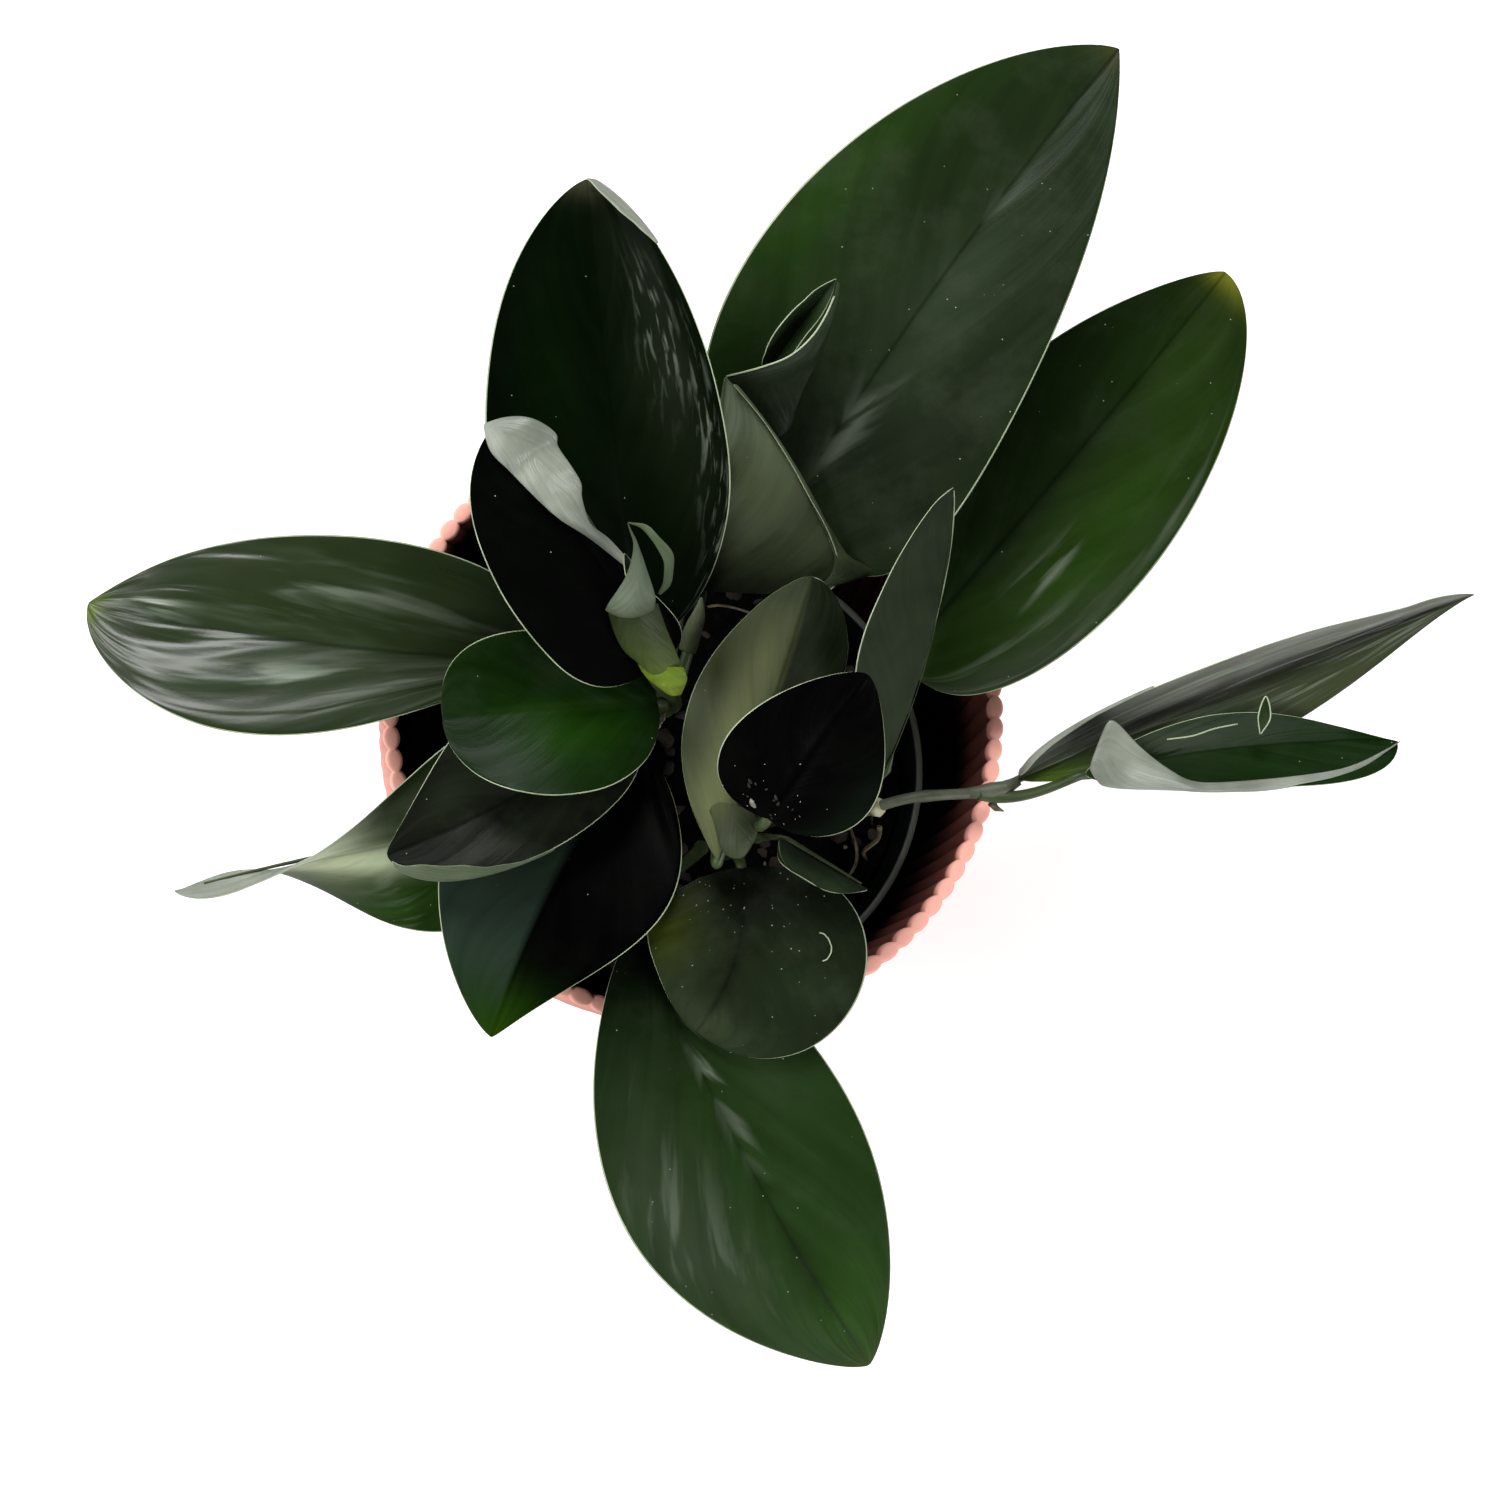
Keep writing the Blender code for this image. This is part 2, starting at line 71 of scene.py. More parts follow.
def node(tree, kind, settings, sockets):
    """Add a shader node; a socket takes a value or another node's output."""
    made = tree.nodes.new("ShaderNode" + kind)
    for key, value in settings.items():
        setattr(made, key, value)
    for key, value in sockets.items():
        if isinstance(value, bpy.types.NodeSocket):
            tree.links.new(value, made.inputs[key])
        else:
            made.inputs[key].default_value = value
    return made


def worked_out(tree, operation, *terms):
    """The result of one sum, which the shader works out."""
    return node(tree, "Math", {"operation": operation}, dict(enumerate(terms))).outputs[0]


def spread(tree, value, *ranges, ease="LINEAR"):
    """Take a value from its own range to a new one (low, high, new low, new high), else to 0 to 1."""
    return node(tree, "MapRange", {"interpolation_type": ease}, dict(enumerate((value, *ranges)))).outputs[0]


def paint(red, green, blue):
    """A colour from 0 to 255 as read off a paint card, in linear light."""
    return (*[((c / 255 + 0.055) / 1.055) ** 2.4 if c > 10 else c / 3295 for c in (red, green, blue)], 1)


floor_paint = bpy.data.materials.new("pale_floor")
floor_paint.use_nodes = True
tree = floor_paint.node_tree
tree.nodes.remove(tree.nodes["Principled BSDF"])
matte = node(tree, "BsdfDiffuse", {}, {"Color": (0.8, 0.8, 0.8, 1)})
seen = node(tree, "LightPath", {}, {}).outputs["Is Camera Ray"]
lift = worked_out(tree, "MULTIPLY", seen, 0.45)
glow = node(tree, "Emission", {}, {"Color": (1, 1, 1, 1), "Strength": lift})
both = node(tree, "AddShader", {}, {0: matte.outputs[0], 1: glow.outputs[0]})
tree.links.new(both.outputs[0], tree.nodes["Material Output"].inputs[0])
floor.data.materials.append(floor_paint)

room = bpy.data.worlds.new("studio_room")
bpy.context.scene.world = room
room.use_nodes = True
tree = room.node_tree
seen = node(tree, "LightPath", {}, {}).outputs["Is Camera Ray"]
facing = node(tree, "TexCoord", {}, {}).outputs["Generated"]
height = node(tree, "SeparateXYZ", {}, {0: facing}).outputs["Z"]
walls = spread(tree, height, 0.05, 0.75, 0.62, 0.05)
room_level = node(tree, "Mix", {}, {0: seen, 2: walls, 3: 1.0})
tree.links.new(room_level.outputs[0], tree.nodes["Background"].inputs["Strength"])
tree.nodes["Background"].inputs["Color"].default_value = (1, 1, 1, 1)

for panel_name, place, size, power in (
        ("window_panel", (-1.5, -0.1, 1.05), 1.3, 30),
        ("front_panel", (1.0, -1.25, 1.1), 1.0, 24),
        ("back_panel", (-0.35, 1.2, 1.6), 0.8, 30)):
    bpy.ops.object.light_add(type="AREA", location=place)
    panel = bpy.context.object
    panel.name = panel_name
    panel.data.size = size
    panel.data.energy = power
    aim = Vector(place) - Vector((0, 0, 0.12))
    panel.rotation_euler = aim.to_track_quat("Z", "Y").to_euler()

# ---- Outer pot ----
# A matte salmon-pink pot cast with 88 slim beads side by side, which lean round the wall
# from foot to rim. Its wall is thin, beaded inside as well, and its rim is rounded over.
MM = 0.001
pot_height = 140.0
rim_radius = 87.5
foot_taper = 6.0
belly = 1.0
flutes = 88
bead_points = 10
bead_round, bead_edge = 0.93, 0.3676
bead_lean = 18
valley, inner_valley = 1.35, -1.3
wall = 4.6


def pot_crest(z):
    """Radius over the beads at a height: a slight taper and a slight belly."""
    rise = z / pot_height
    return rim_radius - foot_taper * (1 - rise) ** 2 + belly * math.sin(math.pi * rise)


bpy.ops.mesh.primitive_circle_add(vertices=flutes * bead_points, radius=80 * MM, fill_type="NGON")
pot = bpy.context.object
pot.name = "beaded_pot"
# (height, distance in from the crest, depth of the valleys) up the outside, over the rim, down
# the inside to the floor. Each ring of points is drawn out of the last and set to the beads.
bead_rows = [(0.0, 3.4, 0.2), (0.5, 2.2, 0.5), (1.6, 0.7, 1.0)]
bead_rows += [(z, 0.0, valley) for z in (3.2, 14, 32, 50, 68, 86, 104, 122, 132, 138.4)]
bead_rows += [(139.3, 0.12, 1.33), (139.8, 0.45, 1.2), (140.0, 1.0, 1.0),
              (140.0, wall - 1.0, -1.0), (139.8, wall - 0.45, -1.2), (139.3, wall - 0.12, -1.28)]
bead_rows += [(z, wall, inner_valley) for z in (138.4, 130, 118, 104, 88, 70, 50, 30, 12)]
bead_rows += [(6.4, wall + 0.6, -0.7), (5.2, wall + 2.4, -0.2), (5.0, wall + 5, 0)]
bpy.ops.object.mode_set(mode="EDIT")
bpy.ops.mesh.select_all(action="SELECT")
shape = bmesh.from_edit_mesh(pot.data)
for row, (z, inset, depth) in enumerate(bead_rows):
    if row:
        bpy.ops.mesh.extrude_region_move()
        shape = bmesh.from_edit_mesh(pot.data)
    for point in [v for v in shape.verts if v.select]:
        turn = math.atan2(point.co.y, point.co.x)
        share = (turn * flutes / math.tau) % 1 * 2 - 1
        swell = (math.sqrt(1 - (bead_round * share) ** 2) - bead_edge) / (1 - bead_edge)
        radius = pot_crest(z) - inset - depth * (1 - swell)
        point.co = (radius * MM * math.cos(turn), radius * MM * math.sin(turn), z * MM)
    if not row:
        bpy.ops.mesh.delete(type="ONLY_FACE")
        bpy.ops.mesh.select_all(action="SELECT")
        shape = bmesh.from_edit_mesh(pot.data)
# The floor is closed at the last ring, and then the foot at the first.
bpy.ops.mesh.edge_face_add()
bpy.ops.mesh.select_all(action="DESELECT")
shape = bmesh.from_edit_mesh(pot.data)
for edge in shape.edges:
    edge.select = edge.is_boundary
bpy.ops.mesh.edge_face_add()
bpy.ops.mesh.select_all(action="SELECT")
bpy.ops.mesh.normals_make_consistent(inside=False)
bpy.ops.object.mode_set(mode="OBJECT")
# Everything is turned about the pot's axis, more toward the foot, so that the beads lean.
for point in pot.data.vertices:
    lean = math.radians(bead_lean) * (point.co.z / MM / pot_height - 1)
    x, y = point.co.x, point.co.y
    point.co.x = x * math.cos(lean) - y * math.sin(lean)
    point.co.y = x * math.sin(lean) + y * math.cos(lean)
bpy.ops.object.shade_smooth_by_angle(angle=math.radians(50))


def finish_of(name, colour, roughness, level=0.5):
    """A new material, with its node tree, its Principled shader and the Object coordinates."""
    material = bpy.data.materials.new(name)
    material.use_nodes = True
    tree = material.node_tree
    shader = tree.nodes["Principled BSDF"]
    shader.inputs["Base Color"].default_value = colour
    shader.inputs["Roughness"].default_value = roughness
    shader.inputs["Specular IOR Level"].default_value = level
    return material, tree, shader, node(tree, "TexCoord", {}, {}).outputs["Object"]


def clouds(tree, where, scale, detail, **settings):
    """A cloudy noise, from 0 to 1."""
    sockets = {"Vector": where, "Scale": scale, "Detail": detail, **settings}
    return node(tree, "TexNoise", {}, sockets).outputs[0]


def coat(tree, amount, under, over):
    """One colour laid over another, as thickly as the amount says."""
    return node(tree, "Mix", {"data_type": "RGBA"}, {0: amount, 6: under, 7: over}).outputs[2]


def mottle(tree, where, scale, dark, pale, low=0.35, high=0.65, detail=4.0):
    """Two colours blended by a cloudy noise."""
    return coat(tree, spread(tree, clouds(tree, where, scale, detail), low, high), dark, pale)


def raised(tree, height, strength, distance, normal=None):
    """Bump from a height, on top of an earlier bump where there is one."""
    sockets = {"Height": height, "Strength": strength, "Distance": distance}
    if normal:
        sockets["Normal"] = normal
    return node(tree, "Bump", {}, sockets).outputs[0]


def roughen(tree, shader, where, grains, distance):
    """Bump from noises of several (scale, strength), added together."""
    normal = None
    for scale, strength in grains:
        normal = raised(tree, clouds(tree, where, scale, 3.0), strength, distance, normal)
    tree.links.new(normal, shader.inputs["Normal"])


pink, tree, shader, where = finish_of("salmon_pot", paint(206, 134, 117), 0.55, 0.4)
tone = mottle(tree, where, 14, paint(192, 115, 100), paint(214, 140, 124))
flecks = spread(tree, clouds(tree, where, 900.0, 2.0), 0.66, 0.74, 0.0, 0.5)
flecked = coat(tree, flecks, tone, paint(238, 176, 160))
place = node(tree, "SeparateXYZ", {}, {0: where})
height = place.outputs["Z"]
flat = node(tree, "CombineXYZ", {}, {0: place.outputs["X"], 1: place.outputs["Y"]})
reach = node(tree, "VectorMath", {"operation": "LENGTH"}, {0: flat.outputs[0]}).outputs["Value"]
# The crest's radius is worked out here again, so that painted shade goes only on the wall's inner side,
# darker deeper down.
rise = spread(tree, height, 0.0, pot_height * MM)
left = worked_out(tree, "SUBTRACT", 1.0, rise)
left_squared = worked_out(tree, "MULTIPLY", left, left)
taper = worked_out(tree, "MULTIPLY_ADD", left_squared, -foot_taper * MM, rim_radius * MM)
bulge = worked_out(tree, "SINE", worked_out(tree, "MULTIPLY", rise, math.pi))
crest = worked_out(tree, "MULTIPLY_ADD", bulge, belly * MM, taper)
within = spread(tree, worked_out(tree, "SUBTRACT", reach, crest), -1.9 * MM, -2.7 * MM)
inner = worked_out(tree, "MULTIPLY", within, spread(tree, height, 3.6 * MM, 4.4 * MM))
below = spread(tree, height, (pot_height - 2.0) * MM, (pot_height - 3.4) * MM)
inner_shade_mask = worked_out(tree, "MULTIPLY", inner, below)
shade_depth = spread(tree, height, (pot_height - 3) * MM, (pot_height - 35) * MM)
painted_inner_shade = coat(tree, shade_depth, paint(112, 64, 55), paint(48, 18, 18))
shade_painted_wall = coat(tree, inner_shade_mask, flecked, painted_inner_shade)
# The top of the rim is painted lighter: painted light on its rounded top.
rim_top_mask = spread(tree, height, (pot_height - 3.4) * MM, (pot_height - 1.2) * MM)
rim_painted_light = coat(tree, rim_top_mask, shade_painted_wall, paint(244, 174, 158))
tree.links.new(rim_painted_light, shader.inputs["Base Color"])
worn = spread(tree, clouds(tree, where, 40.0, 4.0), 0.3, 0.7, 0.46, 0.66)
tree.links.new(worn, shader.inputs["Roughness"])
roughen(tree, shader, where, ((350, 0.25), (1400, 0.2)), 0.0003)
pot.data.materials.append(pink)
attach(pot, "root")
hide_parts("outer_pot")

# ---- Nursery pot ----
# The thin black plastic pot that the plant was grown in, blow-formed with a turned-down lip.
# It stands a little off centre on the outer pot's floor, with drain holes through its own.
liner_x, liner_y = 5.0, -14.0
liner_profile = [(45.0, 5.4), (45.6, 6.2), (53.4, 62), (60.55, 113.8), (60.6, 115.0), (63.2, 115.0),
                 (63.3, 115.4), (63.3, 121.2), (63.1, 121.8), (62.6, 122.0), (62.0, 122.0),
                 (61.5, 121.8), (61.2, 121.0), (59.9, 113.5), (52.4, 62), (44.6, 7.0), (44.0, 6.4)]
bpy.ops.mesh.primitive_circle_add(vertices=150, radius=liner_profile[0][0] * MM,
                                  location=(liner_x * MM, liner_y * MM, liner_profile[0][1] * MM))
liner = bpy.context.object
liner.name = "grower_pot"
bpy.ops.object.transform_apply(location=True, rotation=True, scale=True)
bpy.ops.object.mode_set(mode="EDIT")
bpy.ops.mesh.select_all(action="SELECT")
for (radius_before, z_before), (radius, z) in zip(liner_profile, liner_profile[1:]):
    bpy.ops.mesh.extrude_region_move(TRANSFORM_OT_translate={"value": (0, 0, (z - z_before) * MM)})
    shape = bmesh.from_edit_mesh(liner.data)
    for point in [v for v in shape.verts if v.select]:
        point.co.x = liner_x * MM + (point.co.x - liner_x * MM) * radius / radius_before
        point.co.y = liner_y * MM + (point.co.y - liner_y * MM) * radius / radius_before
shape = bmesh.from_edit_mesh(liner.data)
rims = [e for e in shape.edges if e.is_boundary]
for height in (min(e.verts[0].co.z for e in rims), max(e.verts[0].co.z for e in rims)):
    bpy.ops.mesh.select_all(action="DESELECT")
    shape = bmesh.from_edit_mesh(liner.data)
    for edge in shape.edges:
        if edge.is_boundary and abs(edge.verts[0].co.z - height) < 0.0001:
            edge.select = True
    bpy.ops.mesh.edge_face_add()
bpy.ops.mesh.select_all(action="SELECT")
bpy.ops.mesh.normals_make_consistent(inside=False)
bpy.ops.object.mode_set(mode="OBJECT")
bpy.ops.object.shade_smooth_by_angle(angle=math.radians(40))
drain_holes, drain_radius, drain_reach = 6, 4, 28
for hole in range(drain_holes):
    turn = math.tau * hole / drain_holes
    x, y = liner_x + drain_reach * math.cos(turn), liner_y + drain_reach * math.sin(turn)
    bpy.ops.mesh.primitive_cylinder_add(vertices=24, radius=drain_radius * MM, depth=6 * MM,
                                        location=(x * MM, y * MM, 6 * MM))
    punch = bpy.context.object
    cut = liner.modifiers.new("drain_hole", "BOOLEAN")
    cut.object = punch
    bpy.context.view_layer.objects.active = liner
    bpy.ops.object.modifier_apply(modifier=cut.name)
    bpy.data.objects.remove(punch)

black, tree, shader, where = finish_of("black_plastic", paint(26, 28, 27), 0.6, 0.08)
plastic = mottle(tree, where, 60, paint(6, 7, 8), paint(14, 15, 16), 0.45, 0.75)
height = node(tree, "SeparateXYZ", {}, {0: where}).outputs["Z"]
# A painted highlight runs round the top of the lip.
lip_painted_highlight = spread(tree, height, 0.1210, 0.1218, 0.0, 0.9)
tree.links.new(coat(tree, lip_painted_highlight, plastic, paint(84, 88, 82)), shader.inputs["Base Color"])
scuffed = spread(tree, clouds(tree, where, 180.0, 5.0), 0.35, 0.7, 0.28, 0.5)
tree.links.new(scuffed, shader.inputs["Roughness"])
roughen(tree, shader, where, ((120, 0.15), (900, 0.1)), 0.0004)
liner.data.materials.append(black)
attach(liner, "root")
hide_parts("nursery_pot")

# ---- Soil ----
# A dark, peaty mix packed into the nursery pot, lumpy on top, with bark chips, a little
# perlite and a few surface roots lying in it.
soil_radius = 58.2
soil_foot = 43.4
soil_top = 113.4
soil_depth, soil_middle = 106, 60
soil_rings, ring_width = 24, 2.3
bpy.ops.mesh.primitive_cylinder_add(vertices=96, radius=soil_radius * MM, depth=soil_depth * MM,
                                    location=(liner_x * MM, liner_y * MM, soil_middle * MM))
soil = bpy.context.object
soil.name = "potting_mix"
bpy.ops.object.transform_apply(location=True, rotation=True, scale=True)
bpy.ops.object.mode_set(mode="EDIT")
bpy.ops.mesh.select_all(action="DESELECT")
shape = bmesh.from_edit_mesh(soil.data)
for face in shape.faces:
    face.select = face.normal.z > 0.9
for _ in range(soil_rings):
    bpy.ops.mesh.inset(thickness=ring_width * MM)
bpy.ops.object.mode_set(mode="OBJECT")


def soil_height(x, y):
    """Height of the soil's lumpy top at a place, mm."""
    out = math.hypot(x - liner_x, y - liner_y) / soil_radius
    coarse = noise.noise(Vector((x * 0.06, y * 0.06, 2.0)))
    fine = noise.noise(Vector((x * 0.25, y * 0.25, 5.0)))
    grain = noise.noise(Vector((x * 0.7, y * 0.7, 9.0)))
    return soil_top + 2.2 * (1 - out * out) + 1.6 * coarse + 1.3 * fine + 0.6 * grain


for point in soil.data.vertices:
    x, y = point.co.x / MM, point.co.y / MM
    if point.co.z > 0.11:
        point.co.z = soil_height(x, y) * MM
    else:
        point.co.x = (liner_x + (x - liner_x) * soil_foot / soil_radius) * MM
        point.co.y = (liner_y + (y - liner_y) * soil_foot / soil_radius) * MM
bpy.ops.object.shade_smooth_by_angle(angle=math.radians(60))

peat, tree, shader, where = finish_of("peat", paint(26, 21, 17), 0.95, 0.05)
ground = mottle(tree, where, 220, paint(3, 3, 3), paint(15, 12, 11), 0.4, 0.75, 6.0)
crumb = node(tree, "TexVoronoi", {}, {"Vector": where, "Scale": 420.0})
gaps = spread(tree, crumb.outputs["Distance"], 0.1, 0.5, 1.2, 0.5)
crumbly = node(tree, "Mix", {"data_type": "RGBA", "blend_type": "MULTIPLY"}, {0: 1.0, 6: ground, 7: gaps})
tree.links.new(crumbly.outputs[2], shader.inputs["Base Color"])
roughen(tree, shader, where, ((260, 0.8), (900, 0.9)), 0.0012)
soil.data.materials.append(peat)
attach(soil, "root")
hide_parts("soil")

bark, tree, shader, where = finish_of("bark_chip", paint(54, 40, 28), 0.8, 0.3)
tree.links.new(mottle(tree, where, 140, paint(12, 9, 8), paint(44, 34, 27)), shader.inputs["Base Color"])
roughen(tree, shader, where, ((700, 0.6),), 0.0006)
perlite, tree, shader, where = finish_of("perlite", paint(196, 190, 176), 0.85, 0.3)
tree.links.new(mottle(tree, where, 300, paint(96, 92, 84), paint(160, 154, 142)), shader.inputs["Base Color"])
roughen(tree, shader, where, ((900, 0.7),), 0.0005)


def heap(name, crumbs, material):
    """Join loose crumbs into one piece."""
    bpy.ops.object.select_all(action="DESELECT")
    for crumb in crumbs:
        crumb.select_set(True)
    bpy.context.view_layer.objects.active = crumbs[0]
    bpy.ops.object.join()
    pile = bpy.context.object
    pile.name = name
    pile.data.materials.clear()
    pile.data.materials.append(material)
    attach(pile, "root")
    return pile


def scattered(name, count, size, flat, material, seed):
    """One crumb, copied with its own mesh over the soil and joined into one piece."""
    chance = random.Random(seed)
    bpy.ops.object.select_all(action="DESELECT")
    bpy.ops.mesh.primitive_ico_sphere_add(subdivisions=2, radius=1)
    first = bpy.context.object
    crumbs = []
    for number in range(count):
        crumb_mesh = first.data.copy()
        length = chance.uniform(*size)
        width = length * chance.uniform(0.45, 0.8)
        yaw, tilt = chance.uniform(0, math.tau), chance.uniform(-0.5, 0.5)
        reach = (soil_radius - 3.5) * math.sqrt(chance.random())
        turn = chance.uniform(0, math.tau)
        x, y = liner_x + reach * math.cos(turn), liner_y + reach * math.sin(turn)
        z = soil_height(x, y) + length * flat * 0.15
        for point in crumb_mesh.vertices:
            ragged = 1 + 0.45 * noise.noise(point.co * 1.7 + Vector((number, 0, 0)))
            a, b = point.co.x * length * ragged / 2, point.co.y * width * ragged / 2
            c = point.co.z * length * flat / 2 + a * tilt
            point.co = ((x + a * math.cos(yaw) - b * math.sin(yaw)) * MM,
                        (y + a * math.sin(yaw) + b * math.cos(yaw)) * MM, (z + c) * MM)
        item = bpy.data.objects.new(name, crumb_mesh)
        bpy.context.collection.objects.link(item)
        crumbs.append(item)
    bpy.data.objects.remove(first)
    heap(name, crumbs, material)


scattered("bark_chips", 170, (2.5, 7.0), 0.35, bark, 3)
scattered("peat_crumbs", 260, (1.2, 3.0), 0.7, peat, 8)
scattered("perlite_crumbs", 34, (0.8, 2.0), 0.7, perlite, 5)


def rod(name, points, radii, material, stands_for=None, resolution=3):
    """A round stalk through given points, mm, with its own radius at each, mm."""
    bpy.ops.object.select_all(action="DESELECT")
    bpy.ops.curve.primitive_bezier_curve_add()
    item = bpy.context.object
    item.name = name
    path = item.data
    path.splines.clear()
    line = path.splines.new("POLY")
    line.points.add(len(points) - 1)
    for bead, place, radius in zip(line.points, points, radii):
        bead.co = (*[v * MM for v in place], 1)
        bead.radius = radius
    path.bevel_depth = MM
    path.bevel_resolution = resolution
    path.use_fill_caps = True
    bpy.ops.object.convert(target="MESH")
    bpy.ops.object.mode_set(mode="EDIT")
    bpy.ops.mesh.select_all(action="SELECT")
    bpy.ops.mesh.remove_doubles(threshold=0.02 * MM)
    bpy.ops.mesh.normals_make_consistent(inside=False)
    bpy.ops.object.mode_set(mode="OBJECT")
    bpy.ops.object.shade_smooth()
    item.data.materials.append(material)
    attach(item, "root")
    if stands_for:
        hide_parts(stands_for)


def smooth_path(points, count):
    """Points spaced evenly in the parameter of a spline through given points."""
    places = [Vector(p) for p in points]
    ends = [places[0] * 2 - places[1], *places, places[-1] * 2 - places[-2]]
    made = []
    for step in range(count):
        along = step / (count - 1) * (len(places) - 1)
        k = min(int(along), len(places) - 2)
        t = along - k
        a, b, c, d = ends[k:k + 4]
        made.append(0.5 * (2 * b + (c - a) * t + (2 * a - 5 * b + 4 * c - d) * t * t
                           + (3 * b - a - 3 * c + d) * t ** 3))
    return made


root_skin, tree, shader, where = finish_of("root_skin", paint(128, 104, 72), 0.75, 0.3)
tree.links.new(mottle(tree, where, 160, paint(50, 42, 30), paint(118, 108, 84)), shader.inputs["Base Color"])
roughen(tree, shader, where, ((800, 0.5),), 0.0004)
for number, (*bends, thick) in enumerate((
        ((41, -52), (50, -40), (46, -24), 0.5), ((28, -58), (40, -47), (52, -46), 0.4),
        ((20, 20), (36, 24), (48, 14), 0.45), ((-36, -20), (-30, -38), (-14, -52), 0.45),
        ((44, -8), (53, -16), (55, -30), 0.4), ((-6, 26), (8, 34), (26, 30), 0.4))):
    low_points = [(x, y, soil_height(x, y) + above) for (x, y), above in zip(bends, (-0.4, 0.5, -0.6))]
    rod(f"surface_root_{number + 1}", smooth_path(low_points, 14), [thick] * 13 + [thick * 0.4],
        root_skin, resolution=2)

# ---- Stems ----
# Three short green stems stand in the mix and a fourth creeps out over the rim. Each is ringed
# by the pale scars of old leaf bases, and an air root hangs from the creeping one.
stem_skin, tree, shader, where = finish_of("stem_skin", paint(70, 80, 52), 0.5, 0.4)
tree.links.new(mottle(tree, where, 90, paint(50, 56, 40), paint(82, 86, 68)), shader.inputs["Base Color"])
roughen(tree, shader, where, ((260, 0.35), (1100, 0.25)), 0.0005)
scar_skin, tree, shader, where = finish_of("leaf_scar", paint(168, 168, 138), 0.6, 0.35)
tree.links.new(mottle(tree, where, 240, paint(122, 110, 82), paint(190, 190, 160)),
               shader.inputs["Base Color"])
roughen(tree, shader, where, ((700, 0.4),), 0.0004)
stems = {
    "stem_left": [(-13, -10, 104), (-14, -8, 125), (-15, -4, 148), (-15, -3, 158)],
    "stem_front": [(8, -30, 104), (7, -31, 125), (8, -34, 146), (8, -35, 156)],
    "stem_right": [(30, 6, 104), (32, 7, 120), (36, 8, 138), (38, 8, 152)],
    "runner": [(40, -28, 104), (42, -29, 125), (47, -27, 144), (58, -24, 150), (76, -22.5, 149.5),
               (80.5, -22, 149.8)],
}
stem_steps, scar_gap = 40, 10
for stem_name, points in stems.items():
    creeping = stem_name == "runner"
    path = smooth_path(points, stem_steps)
    radii = []
    for step in range(stem_steps):
        swelling = math.exp(-((step % scar_gap - scar_gap / 2) / 1.1) ** 2)
        radii.append(1.5 + 0.25 * swelling if creeping else 2.35 + 0.45 * swelling)
    radii[-1] = 1.4
    rod(stem_name + "_stalk", path, radii, stem_skin, stem_name, 4)
    for number, at in enumerate((17,) if creeping else range(scar_gap // 2, stem_steps, scar_gap)):
        rod(f"{stem_name}_scar_{number + 1}", path[at - 1:at + 2], [2.2, 2.95, 2.2], scar_skin)
rod("runner_fork", [(72, -22.8, 149.4), (77, -22.2, 149.7), (80.5, -21.8, 150), (84, -21.2, 150.6),
                    (88, -19, 151.6)], [1.5, 1.8, 2.4, 2.2, 1.3], stem_skin, "runner", 4)
rod("runner_scale", [(81, -25, 148.2), (82.5, -26.6, 147.6), (84.5, -27.4, 148.4)], [1.3, 0.9, 0.15],
    root_skin, "runner")
rod("air_root", smooth_path([(50, -32, 143), (51, -35, 136), (49, -38, 128), (52, -40, 119)], 18),
    [0.8 - 0.02 * k for k in range(18)], root_skin, "aerial_root")

# ---- Leaves: how each one is made ----
# Every leaf is a thick, leathery blade on a round stalk that runs on under it as the midrib.
# A flat sheet is pulled out to the leaf's outline, folded along the midrib, cupped at the
# margins, given its shallow ripples and then its thickness.


def bezier(points, t):
    """The point at t on the curve pulled by these control points."""
    points = [Vector(p) for p in points]
    while len(points) > 1:
        points = [a.lerp(b, t) for a, b in zip(points, points[1:])]
    return points[0]


def half_width(leaf, t, half):
    """Half-width at t along the blade, through its widths at a fifth, half and four fifths."""
    heel_power, tip_power = leaf["ends"][half]
    stations = (0.2, 0.5, 0.8)
    total = 0.0
    for station, reach in zip(stations, leaf["widths"][half]):
        share = 1.0
        for other in stations:
            if other != station:
                share *= (t - other) / (station - other)
        total += share * reach / (station ** heel_power * (1 - station) ** tip_power)
    return max(0.0, t ** heel_power * (1 - t) ** tip_power * total)


def midrib_frame(leaf, t):
    """Midrib point, the sideways direction and the way the face looks, at t."""
    chord = leaf["tip"] - leaf["heel"]
    side = chord.cross(Vector((0, 0, 1))).normalized()
    up = side.cross(chord).normalized()
    pull = leaf["heel"] + chord * leaf["bend"] + 2 * (up * leaf["arch"] + side * leaf["sway"])
    centre = bezier((leaf["heel"], pull, leaf["tip"]), t)
    along = ((pull - leaf["heel"]) * (1 - t) + (leaf["tip"] - pull) * t).normalized()
    side = along.cross(up).normalized()
    face = side.cross(along)
    first, last = leaf["roll"]
    roll = math.radians(first + (last - first) * t ** leaf["roll_power"])
    return (centre, side * math.cos(roll) + face * math.sin(roll),
            face * math.cos(roll) - side * math.sin(roll))


